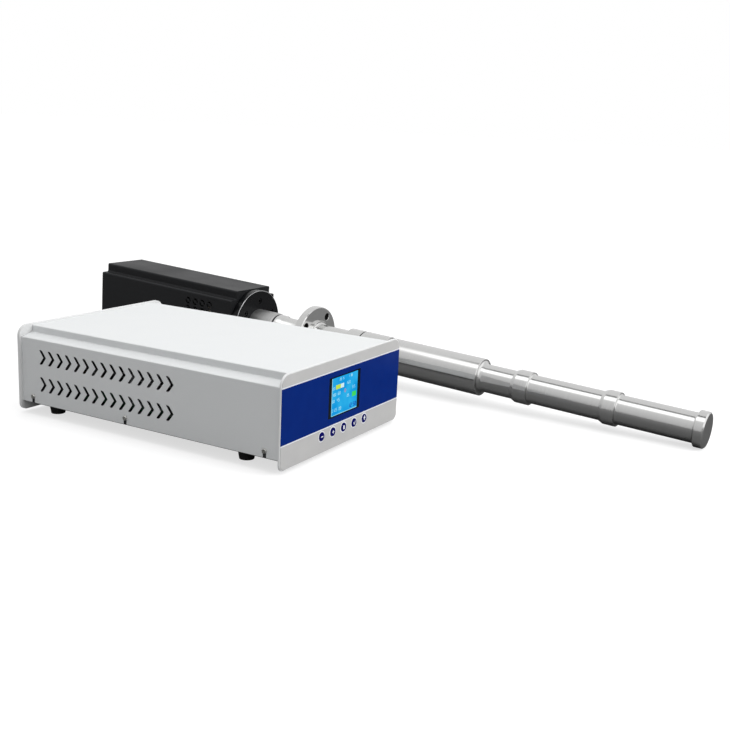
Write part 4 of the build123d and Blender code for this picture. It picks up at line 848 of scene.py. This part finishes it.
def keyPieces(look):
    # Key k is k pitches from the first; its sign and ring are placed from its middle
    inner, outer = look["ring"]
    ring = [(0, inner), (look["ringHeight"], inner), (look["ringHeight"], outer), (0, outer)]
    for k, (sign, (half, lines)) in enumerate(look["signs"].items()):
        x = look["first"] + k * look["pitch"]
        grids = strokes(lines, half, look["relief"],
                        lambda u, v: onFront(x + u, look["height"] + v, look["proud"]))
        piece = gridPiece(sign + "KeySign", grids, "signWhite", look["bodies"][k], closed=False)
        grid = turnedGrid(ring, onFront(x, look["height"]), frontOut, (1, 0, 0), look["ringSegments"])
        halo = gridPiece(sign + "KeyRing", [grid], "signWhite", "generator", wrapColumns=True)


keyPieces(keyLook)
print("keys signed")

# Screen: the lit picture and the plain figures on it, in millimetres from its lower left corner.
# A field is a colour and boxes (x, y, width, height); figures come with x, y, height and width
screenLook = {
    "left": -30.6, "bottom": 44.1, "size": (58.8, 46.0), "steps": (32, 24), "lift": 0.03, "relief": 0.02,
    "fields": {
        "screenBar": ("litYellow", [(8.7, 31.5, 11.0, 5.2)]),
        "screenBarEnd": ("litWhite", [(19.7, 31.5, 7.4, 5.2)]),
        "screenButton": ("litGreen", [(46.6, 15.3, 9.8, 6.2)]),
        "screenEdge": ("litPale", [(0, 0, 0.9, 46.0), (0, 0, 58.8, 0.7)]),
    },
    "pale": [("20.15", 17, 41.2, 2.6, 1.5), ("1 36", 38, 41.6, 2.4, 1.4), ("20", 1.8, 32.0, 3.0, 1.8),
             ("15.0", 33, 33.6, 3.0, 1.7), ("100", 1.8, 24.2, 3.0, 1.8), ("68", 14, 24.2, 3.4, 2.0),
             ("3.5", 47, 26.0, 3.2, 1.9), ("60", 1.8, 16.4, 3.0, 1.8), ("45", 12, 16.2, 3.6, 2.1),
             ("25", 35, 17.5, 3.0, 1.8), ("0125 08", 1.8, 5.0, 3.4, 1.9)],
    "navy": [("12.58", 39.5, 3.0, 4.6, 2.7)],
    "mark": {"middle": (30.2, 26.6), "radii": (1.8, 2.1), "hand": 1.0},
    "halves": {"pale": 0.30, "navy": 0.48, "mark": 0.38},
}
litLooks = {
    "litBlue": {"low": (0.004, 0.34, 0.80), "high": (0.03, 0.50, 0.90), "bands": 0.12},
    "litPale": {"low": (0.28, 0.78, 0.98), "high": (0.50, 0.90, 1.0)},
    "litYellow": {"low": (0.55, 0.80, 0.06), "high": (0.72, 0.92, 0.12)},
    "litWhite": {"low": (0.70, 0.92, 0.95), "high": (0.85, 0.97, 1.0)},
    "litGreen": {"low": (0.05, 0.72, 0.12), "high": (0.14, 0.86, 0.16)},
    "litNavy": {"low": (0.004, 0.030, 0.42), "high": (0.010, 0.060, 0.55)},
    "litRed": {"low": (0.42, 0.22, 0.34), "high": (0.55, 0.25, 0.36)},
}
litDefaults = {"shine": 0.85, "rowPitch": 1.2, "cloud": 45.0, "range": (0.35, 0.65), "black": (0.002,) * 3,
               "blackShare": 0.92, "roughness": 0.25, "coat": 0.12, "coatRoughness": 0.05}


def litMaterial(name, low, high, bands=0.0):
    # Lit picture: glows in its own colour, with the panel's fine rows of dots
    look = litDefaults
    material, tree, shader, place = startMaterial(
        name, coat=look["coat"], coatRoughness=look["coatRoughness"], specular=0.0)
    slow = noise(tree, place, Scale=look["cloud"], Detail=1.0)
    height = axisParts(tree, place)["Z"]
    rows = maths(tree, "SINE", maths(tree, "MULTIPLY", height, 2 * pi / (look["rowPitch"] * mm)))
    share = maths(tree, "ADD", ramp(tree, slow, *look["range"]), maths(tree, "MULTIPLY", rows, bands),
                  clamp=True)
    colour = mixed(tree, share, low, high)
    setInputs(tree, shader, {
        "Emission Color": colour, "Emission Strength": look["shine"], "Roughness": look["roughness"],
        "Base Color": mixed(tree, look["blackShare"], colour, look["black"])})
    return material


for name, look in litLooks.items():
    materials[name] = litMaterial(name, **look)

# Seven-stroke figures: the strokes of each, and their ends in shares of its width and height
figureStrokes = {"0": "abcdef", "1": "bc", "2": "abged", "3": "abgcd", "4": "fgbc", "5": "afgcd",
                 "6": "afgedc", "7": "abc", "8": "abcdefg", "9": "abcdfg"}
strokeEnds = {"a": ((0, 1), (1, 1)), "b": ((1, 1), (1, 0.5)), "c": ((1, 0.5), (1, 0)), "d": ((0, 0), (1, 0)),
              "e": ((0, 0), (0, 0.5)), "f": ((0, 0.5), (0, 1)), "g": ((0, 0.5), (1, 0.5))}
figureSteps = {"figure": 1.6, "point": 0.7, "pointLength": 0.35}


def figures(text, x, y, high, wide):
    # Lines of seven-stroke figures; a point is a short stroke on the base line
    lines = []
    for sign in text:
        if sign == ".":
            lines.append([(x, y), (x + figureSteps["pointLength"], y)])
            x += wide * figureSteps["point"]
            continue
        if sign != " ":
            lines += [[(x + a * wide, y + b * high) for a, b in strokeEnds[s]] for s in figureStrokes[sign]]
        x += wide * figureSteps["figure"]
    return lines


def sheetOn(look, x, y, wide, high, lift, columns=2, rows=2):
    # Flat sheet over the screen: corner (x, y) plus the two shares of its width and height
    u = np.linspace(x, x + wide, columns)
    v = np.linspace(y, y + high, rows)
    return np.array([[onFront(look["left"] + a, look["bottom"] + b, lift) for a in u] for b in v])


def screenPieces(look):
    # Flat sheets for the picture and its fields, and beads just above it for the figures
    lift, high = look["lift"], look["lift"] + look["relief"]
    grids = [sheetOn(look, 0, 0, *look["size"], lift, *look["steps"])]
    pieces = [gridPiece("screenPicture", grids, "litBlue", "generator", closed=False)]
    for name, (material, spots) in look["fields"].items():
        grids = [sheetOn(look, *spot, high) for spot in spots]
        pieces.append(gridPiece(name, grids, material, "generator", closed=False))
    (x, y), (wide, tall) = look["mark"]["middle"], look["mark"]["radii"]
    mark = [[(x + wide * cos(a), y + tall * sin(a)) for a in np.linspace(0, 2 * pi, 24)],
            [(x, y + look["mark"]["hand"]), (x, y - look["mark"]["hand"])]]
    pale, navy = ([line for text in look[key] for line in figures(*text)] for key in ("pale", "navy"))

    def place(u, v):
        return onFront(look["left"] + u, look["bottom"] + v, high)

    for name, material, lines, key in (("screenFigures", "litPale", pale, "pale"),
                                       ("screenClock", "litNavy", navy, "navy"),
                                       ("screenMark", "litRed", mark, "mark")):
        grids = strokes(lines, look["halves"][key], look["relief"], place)
        pieces.append(gridPiece(name, grids, material, "generator", closed=False))


screenPieces(screenLook)
print("screen lit")

# Studio: pale floor, white surroundings, soft lamps, and dark cards that only metal sees
studioLook = {"floor": (0.40, 0.40, 0.402), "paleFloor": (0.41, 0.41, 0.412), "floorReach": 40.0,
              "floorLevel": -0.00005, "glow": 0.66, "farGlow": 1.0, "near": 1.0, "far": 2.6,
              "horizon": 0.33, "zenith": 0.85, "cameraWhite": 1.0, "seenLow": 0.58, "seenHigh": 0.86,
              "highFrom": 0.9, "seenBehind": 0.88, "behind": (-0.1, 0.2), "foot": 0.3, "footHeight": 0.05}


def flatPiece(name, corners, material):
    # One face of the studio through its corners
    mesh = bpy.data.meshes.new(name)
    mesh.from_pydata(corners, [], [tuple(range(len(corners)))])
    mesh.materials.append(material)
    piece = addObject(name, mesh)
    return piece


def rectangle(left, low, right, high):
    return (left, low), (right, low), (right, high), (left, high)


def floorPiece(look):
    # Square sheet just under the bench's level, large enough to run out of sight; seen directly or in
    # a mirror it glows towards white with distance
    material = bpy.data.materials.new("studioFloor")
    material.use_nodes = True
    tree = material.node_tree
    tree.nodes.clear()
    place = nodeIn(tree, "ShaderNodeTexCoord").outputs["Object"]
    colour = mixed(tree, noise(tree, place, Scale=3.0, Detail=2.0), look["floor"], look["paleFloor"])
    rough = nodeIn(tree, "ShaderNodeBsdfDiffuse", {"Color": colour})
    seen = nodeIn(tree, "ShaderNodeLightPath").outputs
    direct = maths(tree, "MAXIMUM", seen["Is Camera Ray"], maths(tree, "MAXIMUM", seen["Is Glossy Ray"],
                                                                  seen["Is Transmission Ray"]))
    away = nodeIn(tree, "ShaderNodeVectorMath", {0: place}, operation="LENGTH").outputs["Value"]
    level = ramp(tree, away, look["near"], look["far"], look["glow"], look["farGlow"])
    glow = nodeIn(tree, "ShaderNodeEmission", {"Strength": maths(tree, "MULTIPLY", direct, level)})
    both = nodeIn(tree, "ShaderNodeAddShader", {0: rough.outputs[0], 1: glow.outputs[0]})
    nodeIn(tree, "ShaderNodeOutputMaterial", {"Surface": both.outputs[0]})
    reach = look["floorReach"]
    corners = [(x, y, look["floorLevel"]) for x, y in rectangle(-reach, -reach, reach, reach)]
    flatPiece("floor", corners, material)


floorPiece(studioLook)


def surroundings(look):
    # Metal and gloss see a wall that is brighter behind the object, with a dark foot at the bench
    world = bpy.data.worlds.new("studio")
    bpy.context.scene.world = world
    world.use_nodes = True
    tree = world.node_tree
    tree.nodes.clear()
    parts = axisParts(tree, nodeIn(tree, "ShaderNodeTexCoord").outputs["Generated"])
    height = parts["Z"]
    plain = ramp(tree, height, 0.0, 1.0, look["horizon"], look["zenith"])
    fore = ramp(tree, height, 0.0, look["highFrom"], look["seenLow"], look["seenHigh"])
    behind = ramp(tree, parts["X"], *look["behind"])
    wall = weighted(tree, fore, maths(tree, "SUBTRACT", 1.0, behind), behind, look["seenBehind"])
    wall = maths(tree, "MULTIPLY", wall, ramp(tree, height, 0.0, look["footHeight"], look["foot"], 1.0))
    seen = nodeIn(tree, "ShaderNodeLightPath").outputs
    glossy = seen["Is Glossy Ray"]
    level = weighted(tree, wall, glossy, plain, maths(tree, "SUBTRACT", 1.0, glossy))
    direct = maths(tree, "MAXIMUM", seen["Is Camera Ray"], seen["Is Transmission Ray"])
    light = nodeIn(tree, "ShaderNodeBackground", {"Color": (1, 1, 1, 1), "Strength": level})
    white = nodeIn(tree, "ShaderNodeBackground", {"Color": (1, 1, 1, 1), "Strength": look["cameraWhite"]})
    either = nodeIn(tree, "ShaderNodeMixShader", {0: direct, 1: light.outputs[0], 2: white.outputs[0]})
    nodeIn(tree, "ShaderNodeOutputWorld", {"Surface": either.outputs[0]})


surroundings(studioLook)

# Cards seen by metal and gloss alone: they give the steel its dark lower half, its thin line and its
# soft highlight, and one hangs before the front panel to keep its blue off the steel. Corners are
# (x, y) at height z, or (x, z) of an upright card at y
cardLook = {
    "cardFore": {"shade": 0.09, "z": -0.00003,
                 "corners": ((-3.5, -7.0), (-0.23, -7.0), (0.328, 2.5), (-3.5, 2.5))},
    "cardAft": {"shade": 0.035, "z": -0.00003,
                "corners": ((-0.23, -7.0), (1.0, -7.0), (1.0, 2.5), (0.328, 2.5))},
    "cardFace": {"shade": 0.15, "z": -0.00002, "corners": rectangle(0.30, -0.34, 0.66, 0.03)},
    "cardSide": {"shade": 0.16, "z": -0.00003, "corners": rectangle(1.0, -7.0, 7.0, 2.5)},
    "cardLine": {"shade": 0.46, "z": 1.5, "corners": rectangle(0.18, -3.0, 0.46, 0.42)},
    "cardFlag": {"shade": 0.40, "y": -0.164, "corners": rectangle(-0.262, 0.0, 0.055, 0.116),
                 "oneSided": True},
    "cardEdge": {"glow": (1.2, 1.3), "y": -2.2, "corners": rectangle(-1.6, 0.3, 2.6, 3.0), "peak": 0.0,
                 "reach": 2.0, "fade": (4.0, 5.0)},
    "cardGlow": {"glow": (0.80, 2.2), "z": 2.25, "corners": rectangle(-1.15, -2.5, 0.55, 2.5), "peak": -0.46,
                 "reach": 0.92, "fade": (0.9, 1.4)},
}


def cardMaterial(name, look):
    material = bpy.data.materials.new(name)
    material.use_nodes = True
    tree = material.node_tree
    shader = tree.nodes["Principled BSDF"]
    setInputs(tree, shader, {"Base Color": (look.get("shade", 0.0),) * 3 + (1,)})
    out = tree.nodes["Material Output"]
    if "glow" in look:
        # Brightest along one line, falling off evenly to both sides
        parts = axisParts(tree, nodeIn(tree, "ShaderNodeTexCoord").outputs["Object"])
        off = maths(tree, "ABSOLUTE", maths(tree, "SUBTRACT", parts["X"], look["peak"]))
        rise = maths(tree, "MULTIPLY", ramp(tree, off, 0.0, look["reach"], 1.0, 0.0),
                     ramp(tree, parts["Y"], *look["fade"], 1.0, 0.0))
        glow = nodeIn(tree, "ShaderNodeEmission", {"Strength": ramp(tree, rise, 0.0, 1.0, *look["glow"])})
        setInputs(tree, out, {"Surface": glow.outputs[0]})
    if look.get("oneSided"):
        back = nodeIn(tree, "ShaderNodeNewGeometry").outputs["Backfacing"]
        clear = nodeIn(tree, "ShaderNodeBsdfTransparent").outputs[0]
        either = nodeIn(tree, "ShaderNodeMixShader", {0: back, 1: shader.outputs[0], 2: clear})
        setInputs(tree, out, {"Surface": either.outputs[0]})
    return material


for name, look in cardLook.items():
    corners = [(x, look["y"], v) if "y" in look else (x, v, look["z"]) for x, v in look["corners"]]
    card = flatPiece(name, corners, cardMaterial(name, look))
    for ray in ("camera", "diffuse", "transmission", "volume_scatter", "shadow"):
        setattr(card, "visible_" + ray, False)

lampLook = {
    "overhead": {"place": (-0.11, -0.2, 2.3), "aim": (-0.11, -0.2, 0.0), "size": (1.64, 3.4), "power": 27.5},
    "front": {"place": (0.9, -2.4, 1.1), "aim": (-0.1, 0.0, 0.05), "size": (1.6, 1.0), "power": 34},
}
for name, look in lampLook.items():
    lamp = bpy.data.lights.new(name, "AREA")
    lamp.shape = "RECTANGLE"
    lamp.size, lamp.size_y = look["size"]
    lamp.energy = look["power"]
    holder = addObject(name, lamp)
    holder.location = look["place"]
    holder.visible_glossy = False  # metal sees the cards instead
    holder.rotation_euler = (Vector(look["aim"]) - Vector(look["place"])).to_track_quat("-Z", "Y").to_euler()

# Camera: the picture's own view
viewLook = {"place": (-1.1441, -0.7517, 0.3810), "lens": 50.46, "sensor": 36.0, "yaw": 60.574,
            "pitch": 13.262, "roll": 2.664, "clip": (0.01, 200)}


def addCamera(look):
    # Yaw from +Y towards +X, pitch downwards, then roll about the line of sight
    yaw, pitch, roll = (radians(look[k]) for k in ("yaw", "pitch", "roll"))
    ahead = Vector((sin(yaw) * cos(pitch), cos(yaw) * cos(pitch), -sin(pitch)))
    right = ahead.cross(Vector((0, 0, 1))).normalized()
    up = right.cross(ahead)
    right, up = right * cos(roll) + up * sin(roll), up * cos(roll) - right * sin(roll)
    data = bpy.data.cameras.new("camera")
    data.lens, data.sensor_width = look["lens"], look["sensor"]
    data.clip_start, data.clip_end = look["clip"]
    camera = addObject("camera", data)
    turned = Matrix((right, up, -ahead)).transposed().to_4x4()
    camera.matrix_world = Matrix.Translation(look["place"]) @ turned
    bpy.context.scene.camera = camera


addCamera(viewLook)
bpy.context.scene.view_settings.view_transform = "Standard"
print("camera and studio set")
